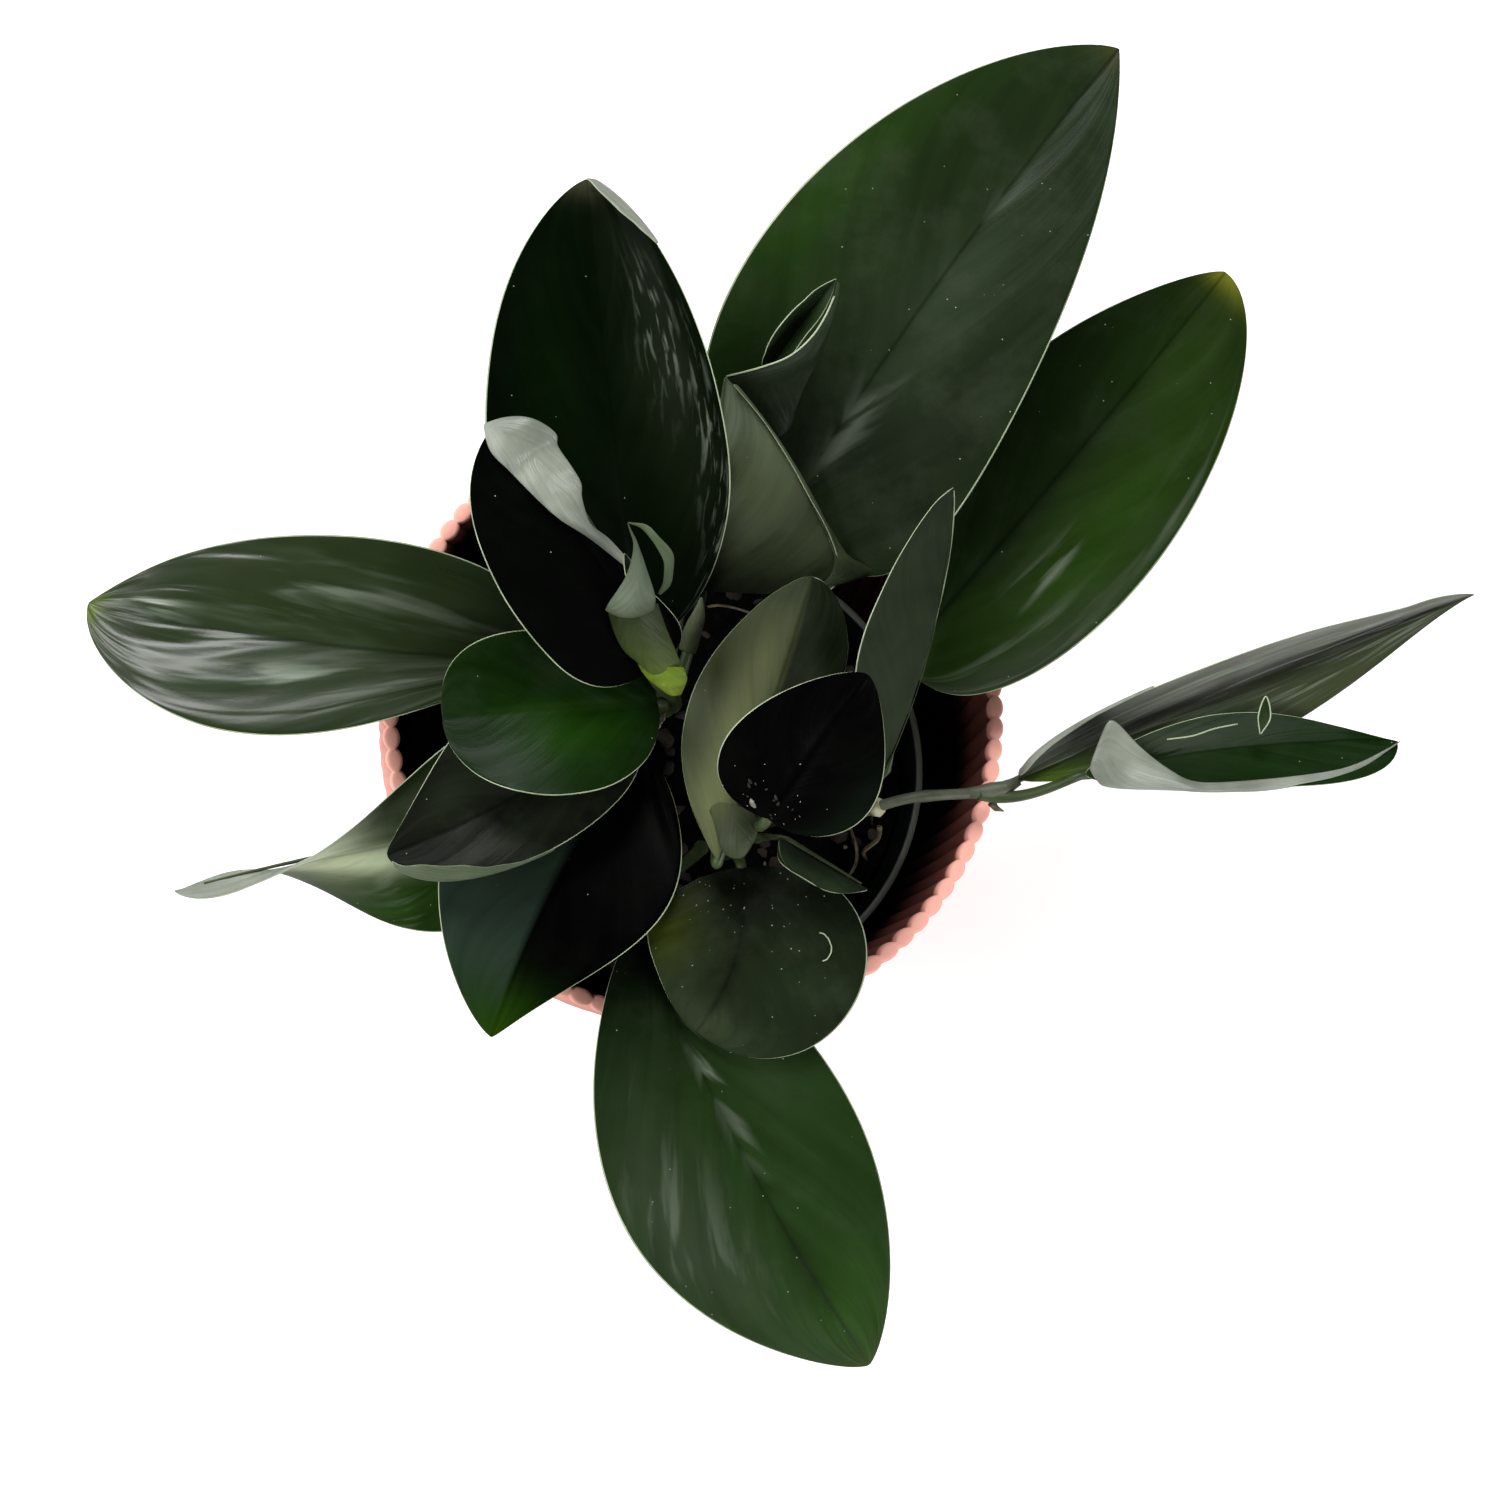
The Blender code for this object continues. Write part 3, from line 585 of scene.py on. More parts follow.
def blade_row(leaf, t, columns):
    """(place, outward normal, signed share across, mm across) from left margin to right."""
    centre, side, face = midrib_frame(leaf, t)
    row, eased_below = [], 5.0
    for half, sign in ((0, -1), (1, 1)):
        width = half_width(leaf, t, half)
        ease = min(1.0, width / eased_below)
        fold = ease * math.radians(leaf["fold"][half] * (1 - t) + leaf["fold_tip"][half] * t)
        cup = math.radians(leaf["cup"][half] * (1 - t) + leaf["cup_tip"][half] * t)
        cup *= width / max(leaf["widths"][half])
        reach, rise, steps, places = 0.0, 0.0, 6, []
        for step in range(columns * steps + 1):
            share = step / (columns * steps)
            lean = fold + cup * share ** leaf["curl"]
            if step % steps == 0:
                normal = face * math.cos(lean) - side * (sign * math.sin(lean))
                places.append((centre + side * (sign * reach) + face * rise, normal,
                               sign * share, sign * share * width))
            middle = fold + cup * ((step + 0.5) / (columns * steps)) ** leaf["curl"]
            reach += width * math.cos(middle) / (columns * steps)
            rise += width * math.sin(middle) / (columns * steps)
        row += places[:0:-1] if half == 0 else [(places[0][0], face, 0.0, 0.0)] + places[1:]
    return row


def relief(leaf, t, share, millimetres):
    """How far the face stands off its smooth shape: midrib groove, ripples, waved margin."""
    groove = -0.55 * math.exp(-(millimetres / 1.3) ** 2) * (1 - 0.7 * t)
    vein = t - 0.5 * abs(share)
    ripple = noise.noise(Vector((vein * 9, share * 1.2, leaf["seed"])))
    wave = noise.noise(Vector((t * 4.5, leaf["seed"], 3.0 if share > 0 else 7.0)))
    ends = min(1.0, 6 * t, 8 * (1 - t))
    rippled = leaf["ripple"] * ripple * (1 - 0.4 * abs(share))
    return groove + ends * (rippled + leaf["wave"] * wave * abs(share) ** 3)


def tone_at(leaf, t, share, seed_point):
    """Colour of the face at a place: its ground colour, then each patch laid over it."""
    tone = leaf["ground"][share > 0]
    for at, beside, long_reach, wide_reach, colour, strength in leaf["patches"]:
        weight = strength * math.exp(-((t - at) / long_reach) ** 2 - ((share - beside) / wide_reach) ** 2)
        tone = tone.lerp(colour, weight)
    cloud = noise.noise(seed_point * 0.09) * 0.10 + noise.noise(seed_point * 0.3) * 0.06
    return tone * (1 + cloud)


def vein_lines(tree, sweep):
    """Where a place lies among the veins that sweep to the margin, from its lay on the leaf."""
    lay = node(tree, "Attribute", {"attribute_name": "lay"}, {})
    split = node(tree, "SeparateXYZ", {}, {0: lay.outputs["Vector"]})
    share, t, seed = split.outputs[0], split.outputs[1], split.outputs[2]
    vein = worked_out(tree, "MULTIPLY_ADD", worked_out(tree, "ABSOLUTE", share), sweep, t)
    return node(tree, "CombineXYZ", {}, {0: vein, 1: share, 2: seed}).outputs[0]


def drawn_out(tree, lines, stretch, detail, **settings):
    """A cloudy noise drawn out along the veins."""
    stretched = node(tree, "Mapping", {}, {"Vector": lines, "Scale": (*stretch, 1)})
    return clouds(tree, stretched.outputs[0], 1.0, detail, **settings)


def shaded(tree, colour, amount):
    """A colour made darker or lighter by an amount."""
    return node(tree, "VectorMath", {"operation": "SCALE"}, {0: colour, "Scale": amount}).outputs[0]


def leaf_skin(name, roughness, level, streak, strength, haze=0.2, midrib=0.55, grain=(11, 1.2), detail=3.0,
              sweep=-0.5, dash=(13, 2.4), dust=0.12):
    """Leaf face: the painted tone, fine veins that sweep to the margin, a satin streaky gloss, and painted
    highlights where the glint layer says.
    """
    material, tree, shader, where = finish_of(name, (0, 0, 0, 1), roughness, level)
    tone, rib, gleam = [node(tree, "Attribute", {"attribute_name": layer}, {}).outputs
                        for layer in ("tone", "from_midrib", "glint")]
    lines = vein_lines(tree, sweep)
    streaks = drawn_out(tree, lines, grain, detail, Distortion=0.3)
    hairs = drawn_out(tree, lines, (60, 2.2), 2.0)
    streaked = spread(tree, streaks, 0.3, 0.72, 0.86, 1.16)
    lined = worked_out(tree, "MULTIPLY", streaked, spread(tree, hairs, 0.3, 0.7, 0.97, 1.03))
    bloom = clouds(tree, where, 55.0, 6.0, Roughness=0.65)
    hazy = spread(tree, bloom, 0.48, 0.78, 0.0, haze)
    hazed = coat(tree, hazy, shaded(tree, tone["Color"], lined), paint(66, 76, 58))
    crease = spread(tree, rib["Fac"], 0.0, 0.9, midrib, 1.0, ease="SMOOTHSTEP")
    # Pale dashes drawn along the veins, where the glint layer says, are painted highlights.
    dashes = spread(tree, drawn_out(tree, lines, dash, 3.0, Distortion=0.4), 0.50, 0.68, ease="SMOOTHSTEP")
    shine = worked_out(tree, "MULTIPLY", gleam["Fac"], dashes)
    with_painted_highlights = coat(tree, shine, shaded(tree, hazed, crease), paint(124, 134, 118))
    grit = node(tree, "TexVoronoi", {}, {"Vector": where, "Scale": 420.0}).outputs
    pick = node(tree, "SeparateXYZ", {}, {0: grit["Color"]}).outputs[0]
    few = worked_out(tree, "GREATER_THAN", pick, 1 - dust)
    specks = worked_out(tree, "MULTIPLY", spread(tree, grit["Distance"], 0.04, 0.09, 1.0, 0.0), few)
    tree.links.new(coat(tree, specks, with_painted_highlights, paint(150, 158, 142)), shader.inputs["Base Color"])
    polish = spread(tree, streaks, 0.3, 0.7, roughness - streak, roughness + streak)
    tree.links.new(polish, shader.inputs["Roughness"])
    comb = raised(tree, hairs, 0.06, 0.0002, raised(tree, streaks, strength, 0.0022))
    pores = raised(tree, clouds(tree, where, 1500.0, 2.0), 0.22, 0.00008, comb)
    tree.links.new(pores, shader.inputs["Normal"])
    return material


def plain_leaf_skin(name, dark, pale, roughness, level=0.3):
    """Leaf underside, margin or stalk: two close greens, satin, faintly lined."""
    material, tree, shader, where = finish_of(name, dark, roughness, level)
    streaks = drawn_out(tree, vein_lines(tree, -0.5), (22, 1.5), 4.0)
    lined = spread(tree, streaks, 0.3, 0.7, 0.88, 1.12)
    toned = shaded(tree, mottle(tree, where, 60, dark, pale, 0.3, 0.7), lined)
    tree.links.new(toned, shader.inputs["Base Color"])
    swell = raised(tree, streaks, 0.3, 0.0008)
    pores = raised(tree, clouds(tree, where, 1400.0, 2.0), 0.2, 0.0001, swell)
    tree.links.new(pores, shader.inputs["Normal"])
    return material


under_skin = plain_leaf_skin("leaf_underside", paint(54, 66, 44), paint(78, 90, 66), 0.42)
rim_skin = plain_leaf_skin("leaf_margin", paint(134, 148, 116), paint(166, 178, 148), 0.4)
stalk_skin = plain_leaf_skin("leaf_stalk", paint(34, 46, 22), paint(60, 74, 40), 0.45)
grown = {}


def painted_layers(mesh):
    """Add the layers that the leaf finishes read: tone, with its painted shade and sheen, lay, distance from
    the midrib, and glint, the painted highlights.
    """
    layers = {"tone": "FLOAT_COLOR", "lay": "FLOAT_VECTOR", "from_midrib": "FLOAT", "glint": "FLOAT"}
    for layer, kind in layers.items():
        mesh.attributes.new(layer, kind, "POINT")
    return [mesh.attributes[layer].data for layer in layers]


def flat_sheet(name, columns, rows):
    """A flat sheet of squares, which a leaf or a part of one is pulled out of."""
    bpy.ops.object.select_all(action="DESELECT")
    bpy.ops.mesh.primitive_grid_add(x_subdivisions=columns, y_subdivisions=rows, size=2)
    flat = bpy.context.object
    flat.name = name
    return flat, flat.data


def thickened(part, leaf_name, thickness=0.4, weld=True):
    """Give a pulled-out sheet its thickness, mm, and rounding, and hide the imported leaf it takes the place
    of.
    """
    thicken = part.modifiers.new("thickness", "SOLIDIFY")
    thicken.thickness = thickness * MM
    thicken.offset = 0
    if len(part.data.materials) > 1:
        thicken.material_offset, thicken.material_offset_rim = 1, 2
    bpy.ops.object.modifier_apply(modifier=thicken.name)
    if weld:
        bpy.ops.object.mode_set(mode="EDIT")
        bpy.ops.mesh.select_all(action="SELECT")
        bpy.ops.mesh.remove_doubles(threshold=0.04 * MM)
        bpy.ops.object.mode_set(mode="OBJECT")
    smooth = part.modifiers.new("rounding", "SUBSURF")
    smooth.levels = smooth.render_levels = 1
    bpy.ops.object.modifier_apply(modifier=smooth.name)
    bpy.ops.object.shade_smooth()
    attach(part, "root")
    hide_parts(leaf_name)


def leaf(name, slot, skin, foot, heel, tip, left, right, ground, patches=(), point=None, arch=0, sway=0,
         bend=0.5, ends=(0.5, 0.7), ends_right=None, fold=(8, 8), fold_tip=None, cup=(0, 0), cup_tip=None,
         curl=1, roll=(0, 0), roll_power=1, lift=(0, 0, 1), columns=9, rows=34, ripple=0.5, wave=0.5,
         under=None, stalk=1.5, rib=1.0, right_ground=None, glints=()):
    """Make one leaf: its blade and the stalk under it, in mm, degrees and colours from 0 to 255.

    A patch or glint is (place along, place across, reach along, reach across, ...), in shares of
    the blade: then a patch's colour and strength, or a glint's strength. A glint is a painted
    highlight, and some patches are painted shade or sheen.
    """
    patches = [*patches, (1.0, 0, 0.035, 2.0, point, 0.95)] if point else patches
    item = {"heel": Vector(heel), "tip": Vector(tip), "widths": (left, right), "arch": arch,
            "sway": sway, "bend": bend, "ends": (ends, ends_right or ends), "fold": fold,
            "fold_tip": fold_tip or fold, "cup": cup, "cup_tip": cup_tip or cup, "curl": curl,
            "roll": roll, "roll_power": roll_power, "ripple": ripple, "wave": wave,
            "seed": 1.7 * len(grown) + 0.4,
            "ground": [Vector(paint(*colour)[:3]) for colour in (ground, right_ground or ground)],
            "patches": [(*reach, Vector(paint(*colour)[:3]), strength)
                        for *reach, colour, strength in patches]}
    grown[name] = item
    blade, mesh = flat_sheet(name.replace("leaf_", "blade_"), 2 * columns, rows)
    tone, lay, from_midrib, glint = painted_layers(mesh)
    made = []
    for row in range(rows + 1):
        t = 0.06 * row / rows + 0.94 * (1 - math.cos(math.pi * row / rows)) / 2
        made.append((t, blade_row(item, min(max(t, 0.0005), 0.9995), columns)))
    for number, vertex in enumerate(mesh.vertices):
        t, places = made[round((vertex.co.y + 1) / 2 * rows)]
        place, normal, share, millimetres = places[round((vertex.co.x + 1) * columns)]
        vertex.co = (place + normal * relief(item, t, share, millimetres)) * MM
        tone[number].color = (*[max(0.0, c) for c in tone_at(item, t, share, place)], 1)
        lay[number].vector = (share, t, item["seed"])
        from_midrib[number].value = abs(millimetres)
        glint[number].value = max([0] + [
            power * math.exp(-((t - at) / long_reach) ** 2 - ((share - beside) / wide_reach) ** 2)
            for at, beside, long_reach, wide_reach, power in glints])
    for finish in (skin, under or under_skin, rim_skin):
        mesh.materials.append(finish)
    thickened(blade, name)
    stalk_steps, rib_steps, rib_end = 16, 14, 0.92
    centre, side, face = midrib_frame(item, 0)
    foot, heel, lift = Vector(foot), item["heel"], Vector(lift)
    span = (heel - foot).length
    pulls = (foot, foot + 0.4 * span * lift, heel - face.cross(side) * 0.2 * span, heel)
    path, radii = [foot - lift * 1.2], [stalk + 0.7]
    for step in range(stalk_steps + 1):
        share = step / stalk_steps
        path.append(bezier(pulls, share) - face * (stalk + 0.4) * share ** 4)
        radii.append(stalk + 0.6 * (1 - share) ** 2)
    for step in range(1, rib_steps + 1):
        t = rib_end * step / rib_steps
        centre, side, face = midrib_frame(item, t)
        thick = rib * (stalk * (1 - t) ** 1.3 * 0.8 + 0.25)
        path.append(centre - face * (thick + 0.25 + 0.55 * (1 - 0.7 * t)))
        radii.append(thick)
    rod(name.replace("leaf_", "stalk_"), path, radii, stalk_skin, name)


# ---- Great top leaf ----
# The largest leaf stands off to the back right, broad and only slightly folded. It is a
# dull blackish green with a painted grey sheen down the middle, painted highlights along the midrib and a
# greener left margin.
dull_skin = leaf_skin("leaf_face_dull", 0.40, 0.07, 0.06, 0.15, haze=0.25)
leaf("leaf_top_right_large", "leaf_dark", dull_skin, (31, 12, 122), (15, 46, 166), (102, 172, 203),
     left=(41, 44, 27), right=(39, 34, 19.5), arch=8, sway=-3, ends=(0.5, 0.8), ends_right=(0.25, 0.95),
     ground=(24, 36, 16), point=(52, 56, 26), columns=12, rows=44,
     patches=[(0.45, -0.9, 0.4, 0.25, (28, 52, 12), 0.8), (0.5, 0.15, 0.22, 0.3, (44, 56, 38), 0.7),
              (0.22, 0.1, 0.12, 0.5, (14, 20, 11), 0.7), (0.3, 0.7, 0.25, 0.4, (20, 26, 16), 0.7)],
     glints=[(0.2, 0.08, 0.16, 0.1, 0.26), (0.5, 0.06, 0.2, 0.08, 0.2)])

# ---- Black upper left leaf ----
# An old, nearly black leaf, glossy and dished, with painted highlights as small pale dashes on its right
# half.
# Close to the tip its right margin has rolled over, so a narrow strip of the underside shows, paler still
# with painted sheen.


def flap(name, leaf_name, half, first, last, widths, turned, skin, radius=1.1, rows=26, columns=10):
    """A margin of a leaf turned back over its face, from one place along the blade to another.

    Widths are spaced evenly along it, mm; turned is how far it folds, in degrees.
    """
    item = grown[leaf_name]
    strip, mesh = flat_sheet(name, columns, rows)
    lay = mesh.attributes.new("lay", "FLOAT_VECTOR", "POINT")
    sign = 1 if half else -1
    ruck = 0.5
    made = []
    for row in range(rows + 1):
        share = row / rows
        t = first + (last - first) * share
        k = min(int(share * (len(widths) - 1)), len(widths) - 2)
        part = share * (len(widths) - 1) - k
        part = part * part * (3 - 2 * part)
        width = widths[k] + (widths[k + 1] - widths[k]) * part
        inside = min(max(t, 0.001), 0.999)
        edge, normal = blade_row(item, inside, 12)[-1 if half else 0][:2]
        centre, side, face = midrib_frame(item, inside)
        along = face.cross(side).normalized()
        out = (normal.cross(along) * -sign).normalized()
        if out.dot(side * sign) < 0:
            out = -out
        turn = math.radians(turned[0] + (turned[1] - turned[0]) * share)
        line = []
        arc = radius * turn
        for column in range(columns + 1):
            run = (column / columns) * (arc + width)
            angle = min(run, arc) / radius
            place = edge + out * (radius * math.sin(angle)) + normal * (radius * (1 - math.cos(angle)))
            rest = max(0.0, run - arc)
            bow = ruck * noise.noise(Vector((t * 5, item["seed"], column * 0.12))) * min(1.0, rest / 3)
            place += (out * math.cos(turn) + normal * math.sin(turn)) * rest
            place += (normal * math.cos(turn) - out * math.sin(turn)) * bow
            line.append((place, t, column / columns))
        made.append(line)
    for number, vertex in enumerate(mesh.vertices):
        column = round((vertex.co.x + 1) / 2 * columns)
        line = made[round((vertex.co.y + 1) / 2 * rows)]
        place, t, share = line[column if half else columns - column]
        vertex.co = place * MM
        lay.data[number].vector = (sign * share, t, item["seed"])
    for finish in (under_skin, skin, rim_skin):
        mesh.materials.append(finish)
    thickened(strip, leaf_name, 0.5, weld=False)


black_skin = leaf_skin("leaf_face_black", 0.30, 0.014, 0.04, 0.06, haze=0.02, midrib=0.85, dash=(14, 17),
                       dust=0.05)
# A paler copy of the underside: its own grey green lightened with painted sheen.
sheened_underside_skin = plain_leaf_skin("leaf_underside_painted_sheen", paint(97, 104, 92), paint(140, 146, 133), 0.34, 0.5)
leaf("leaf_top_left", "leaf_dark", black_skin, (-16, 2, 142), (-18, 17, 160), (-38, 132, 190),
     left=(33, 37, 24), right=(25, 32, 21), arch=8, sway=-3, ends=(0.5, 0.8), fold=(18, 14),
     cup=(10, 20), cup_tip=(10, 90), curl=2, ground=(5, 12, 4), point=(60, 62, 44),
     columns=11, rows=40,
     patches=[(0.5, 0.55, 0.3, 0.35, (16, 23, 10), 0.8), (0.6, -0.5, 0.25, 0.3, (6, 20, 3), 0.7)],
     glints=[(0.66, 0.55, 0.12, 0.16, 0.5), (0.45, 0.82, 0.18, 0.1, 0.5), (0.25, 0.94, 0.14, 0.05, 0.9)])
flap("flap_top_left", "leaf_top_left", 1, 0.84, 0.995, (0.3, 2, 3.5, 3.5, 2.5), (110, 150), sheened_underside_skin,
     radius=0.8, rows=16)

# ---- Right leaf ----
# A mature leaf in a fresher green, darker along its upper half, with a painted grey sheen and
# painted highlights by the lower margin, and a tip that has started to turn yellow.
bright_skin = leaf_skin("leaf_face_bright", 0.34, 0.06, 0.05, 0.12, haze=0.12, midrib=0.6, dash=(2.5, 7))
leaf("leaf_right", "leaf_green", bright_skin, (41, 8, 126), (53, 13, 153), (147, 126, 164),
     left=(24, 30, 18), right=(33, 36.5, 26), arch=6, ends=(0.4, 0.75), ends_right=(0.3, 0.5),
     fold=(6, 4), ground=(16, 30, 8), right_ground=(24, 40, 11), point=(104, 108, 30),
     columns=11, rows=40,
     patches=[(0.4, 0.6, 0.3, 0.3, (32, 56, 11), 0.85), (0.8, 0.3, 0.15, 0.5, (34, 54, 16), 0.6),
              (0.12, 0.9, 0.22, 0.2, (50, 58, 44), 0.8), (0.94, 0, 0.08, 0.9, (28, 42, 10), 0.85),
              (0.3, -0.5, 0.3, 0.4, (12, 24, 6), 0.7), (0.3, 0, 0.3, 0.1, (12, 22, 6), 0.7)],
     glints=[(0.12, 0.8, 0.16, 0.14, 0.7), (0.27, 0.42, 0.1, 0.09, 0.9), (0.6, 0.85, 0.2, 0.1, 0.3)])

# ---- Long left leaf ----
# A long, narrow leaf held out level to the left. It is the glossiest of the old leaves: its
# rippled face breaks the light into pale streaks, partly real gloss and partly painted highlights and painted
# grey sheen, and its tip is yellow green.
streaked_skin = leaf_skin("leaf_face_streaked", 0.30, 0.42, 0.05, 0.8, haze=0.1, grain=(3.4, 2.2), detail=1.5,
                          sweep=-0.8, dash=(4, 3.4), dust=0.02)
leaf("leaf_left_long", "leaf_dark", streaked_skin, (-19, -4, 132), (-41, 10, 155), (-162, 22, 164),
     left=(13, 26, 20), right=(27, 27, 15), arch=8, sway=-4, bend=0.7, ends=(0.4, 0.6),
     ends_right=(0.5, 1.0), fold=(10, 8), ground=(29, 41, 16), point=(92, 108, 30),
     columns=10, rows=44, ripple=0.9, wave=0.7,
     patches=[(0.05, 0.2, 0.14, 1.2, (12, 20, 9), 0.85), (0.97, 0, 0.05, 1.0, (52, 72, 22), 0.7),
              (0.5, -0.55, 0.3, 0.3, (46, 56, 38), 0.5)],
     glints=[(0.45, -0.4, 0.22, 0.16, 0.9), (0.84, 0.3, 0.11, 0.3, 1.2), (0.45, 0.45, 0.25, 0.26, 0.5),
             (0.82, -0.5, 0.09, 0.25, 0.8)])

# ---- Folded black leaf on the left ----
# A young black leaf that has not yet flattened. Its right margin is folded right over on
# to the face and shows the grey-green underside as a long flap, made pale with painted sheen.


def sheet(name, leaf_name, skin, first_edge, second_edge, tones, swell=1.5, rows=28, columns=8,
          ruck=0.3):
    """A loose part of a leaf between two edges, in mm, swelled up and toned along its length."""
    edges = [smooth_path(edge, rows + 1) for edge in (first_edge, second_edge)]
    shades = [Vector(paint(*colour)[:3]) for colour in tones]
    part, mesh = flat_sheet(name, columns, rows)
    tone, lay, from_midrib, _ = painted_layers(mesh)
    clear_of_midrib = 9.0
    for number, vertex in enumerate(mesh.vertices):
        t, share = (vertex.co.y + 1) / 2, (vertex.co.x + 1) / 2
        step = round(t * rows)
        low, high = edges[0][step], edges[1][step]
        ahead = edges[0][min(step + 1, rows)] - edges[0][max(step - 1, 0)]
        lift = (high - low).cross(ahead)
        lift = lift.normalized() if lift.length > 0.01 else Vector((0, 0, 1))
        if lift.z < 0:
            lift = -lift
        height = swell * min(1.0, (high - low).length / 6) * 4 * share * (1 - share)
        height += ruck * noise.noise(Vector((t * 7, share * 1.5, len(name)))) * math.sin(math.pi * t)
        vertex.co = (low.lerp(high, share) + lift * height) * MM
        k = min(int(t * (len(shades) - 1)), len(shades) - 2)
        tone[number].color = (*shades[k].lerp(shades[k + 1], t * (len(shades) - 1) - k), 1)
        lay[number].vector = (2 * share - 1, t, 0.3 * len(name))
        from_midrib[number].value = clear_of_midrib
    mesh.materials.append(skin)
    thickened(part, leaf_name)


leaf("leaf_left_black", "leaf_dark", black_skin, (-12, 3, 152), (-17, 8, 184), (-62, 62, 208),
     left=(24, 27, 21), right=(8, 4.5, 6.5), arch=4, ends=(0.5, 0.65), ends_right=(0.5, 0.8),
     fold=(8, 20), cup=(20, 10), curl=2, ground=(4, 5, 4), columns=12, rows=36, wave=0.2)
sheet("flap_left_black", "leaf_left_black", sheened_underside_skin,
      [(-65, 61.5, 210), (-59, 63, 212.5), (-53, 62.5, 213.5), (-47.5, 59.5, 212), (-47, 56.5, 211.5),
       (-43.5, 52, 210), (-40.7, 48, 208), (-40.4, 44.5, 206.5), (-38, 39, 204), (-33, 35.5, 202),
       (-27, 30, 199)],
      [(-65, 61, 209.5), (-63.5, 55, 209.5), (-59, 50.5, 209), (-53.5, 45.5, 207.5), (-46.5, 40, 205),
       (-38, 35.5, 202), (-28, 29, 198.5)],
      [(90, 100, 80)] * 2, swell=1.8, rows=44, columns=10, ruck=1.5)

# ---- Small green leaf in the middle ----
# A small rounded leaf lying nearly level over its neighbours, bright mid green, with a
# thin pale margin all round.
green_skin = leaf_skin("leaf_face_green", 0.34, 0.06, 0.05, 0.12, haze=0.12, midrib=0.75, dust=0.14)
leaf("leaf_centre_green", "leaf_green", green_skin, (-15, -2, 163), (-17, -2, 176), (-73, -8, 182),
     left=(19, 24, 19), right=(14, 20, 19), arch=5, ends=(0.5, 0.5), ends_right=(0.7, 0.4),
     fold=(6, 4), cup=(20, 10), ground=(10, 30, 3), columns=10, rows=34, ripple=0.4,
     patches=[(0.45, -0.3, 0.25, 0.4, (20, 50, 4), 0.9), (0.3, 0.75, 0.5, 0.3, (7, 18, 4), 0.8),
              (0.9, -0.3, 0.12, 0.8, (14, 28, 10), 0.6), (0.4, 0.0, 0.4, 0.05, (34, 58, 16), 0.7)])

# ---- Dark folded leaf at the left ----
# A dark leaf with patches of painted grey sheen. The tip end of its left margin curls back over the face
# and shows the pale underside.
leaf("leaf_left_folded", "leaf_dark", dull_skin, (-20, -3, 143), (-22, -5, 164), (-86, -42, 167),
     left=(15, 18, 14), right=(22, 25, 13), arch=4, sway=-3, ends=(0.6, 0.6), fold=(10, 6),
     cup=(20, 10), cup_tip=(40, 10), curl=2, ground=(12, 16, 9), columns=12, rows=36, wave=0.3,
     patches=[(0.62, 0.45, 0.2, 0.35, (34, 40, 28), 0.7), (0.2, 0, 0.2, 1.0, (6, 8, 5), 0.8),
              (0.45, -0.6, 0.25, 0.3, (32, 38, 27), 0.7)])
flap("flap_left_folded", "leaf_left_folded", 0, 0.5, 0.99, (0.0, 0.2, 1.4, 3.6, 4.0, 1.2), (120, 150),
     under_skin, radius=0.5)

# ---- Twisted leaf at the left ----
# A green leaf that turns over on its way to the tip, so its last third lies underside up,
# pale and satiny. A painted highlight runs along the ridge where it turns, painted highlights lie by its
# lower margin, and the underside is paler still with painted sheen.
leaf("leaf_left_twisted", "leaf_green", green_skin, (-17, -13, 122), (-44, -30, 148), (-140, -51, 150),
     left=(24, 22, 7), right=(26, 13, 6), arch=5, ends=(0.5, 0.7), fold=(10, 10), roll=(0, 175),
     roll_power=1.9, under=sheened_underside_skin, ground=(20, 42, 3), columns=10, rows=44, ripple=0.8,
     patches=[(0.35, -0.6, 0.3, 0.5, (24, 50, 2), 0.85), (0.3, 0.6, 0.3, 0.5, (40, 52, 26), 0.7),
              (0.64, 0.5, 0.13, 0.8, (180, 188, 160), 0.95), (0.52, -0.15, 0.2, 0.16, (176, 186, 152), 0.97)],
     glints=[(0.3, -0.85, 0.12, 0.2, 0.8), (0.5, -0.3, 0.2, 0.3, 0.4)])

# ---- Lower left leaf ----
# A broad pointed leaf, black on its right half; its left half is painted a dull grey-green
# sheen. Its tip is plain green.
leaf("leaf_lower_left", "leaf_dark", black_skin, (-15, -12, 127), (-18, -12, 151), (-58, -89, 156),
     left=(24, 28, 13.5), right=(28, 33, 20), arch=5, sway=4, ends=(0.5, 0.75), fold=(10, 8),
     ground=(2, 2, 2), right_ground=(34, 46, 37), point=(28, 54, 3), columns=12, rows=40,
     patches=[(0.2, 0.3, 0.25, 0.5, (6, 8, 6), 0.9), (0.97, 0, 0.12, 1.5, (24, 50, 2), 0.95)])

# ---- Round front leaf ----
# A blunt, nearly round leaf at the front, olive on its left and dark at the heel, with a
# painted grey sheen along its lower margin.
# The round front leaf's face: real dust specks, and the painted grey sheen of its lower margin.
dust_and_sheen_skin = leaf_skin("leaf_face_dust_and_sheen", 0.45, 0.05, 0.05, 0.08, haze=0.2, midrib=0.85, dust=0.35)
leaf("leaf_front_round", "leaf_dark", dust_and_sheen_skin, (8, -39, 134), (9, -44, 155), (-3, -88, 151),
     left=(30, 35, 27), right=(21, 25, 18), arch=5, sway=-4, ends=(0.45, 0.45), fold=(6, 0),
     ground=(19, 27, 13), columns=12, rows=36, ripple=0.4,
     patches=[(0.0, 0, 0.3, 1.6, (4, 5, 4), 0.97), (0.45, 0.9, 0.3, 0.4, (50, 58, 10), 0.7),
              (0.93, 0, 0.14, 1.0, (42, 51, 33), 0.85), (0.5, 0, 0.45, 0.045, (8, 12, 6), 0.8),
              (0.6, -0.6, 0.3, 0.4, (26, 36, 20), 0.6)])
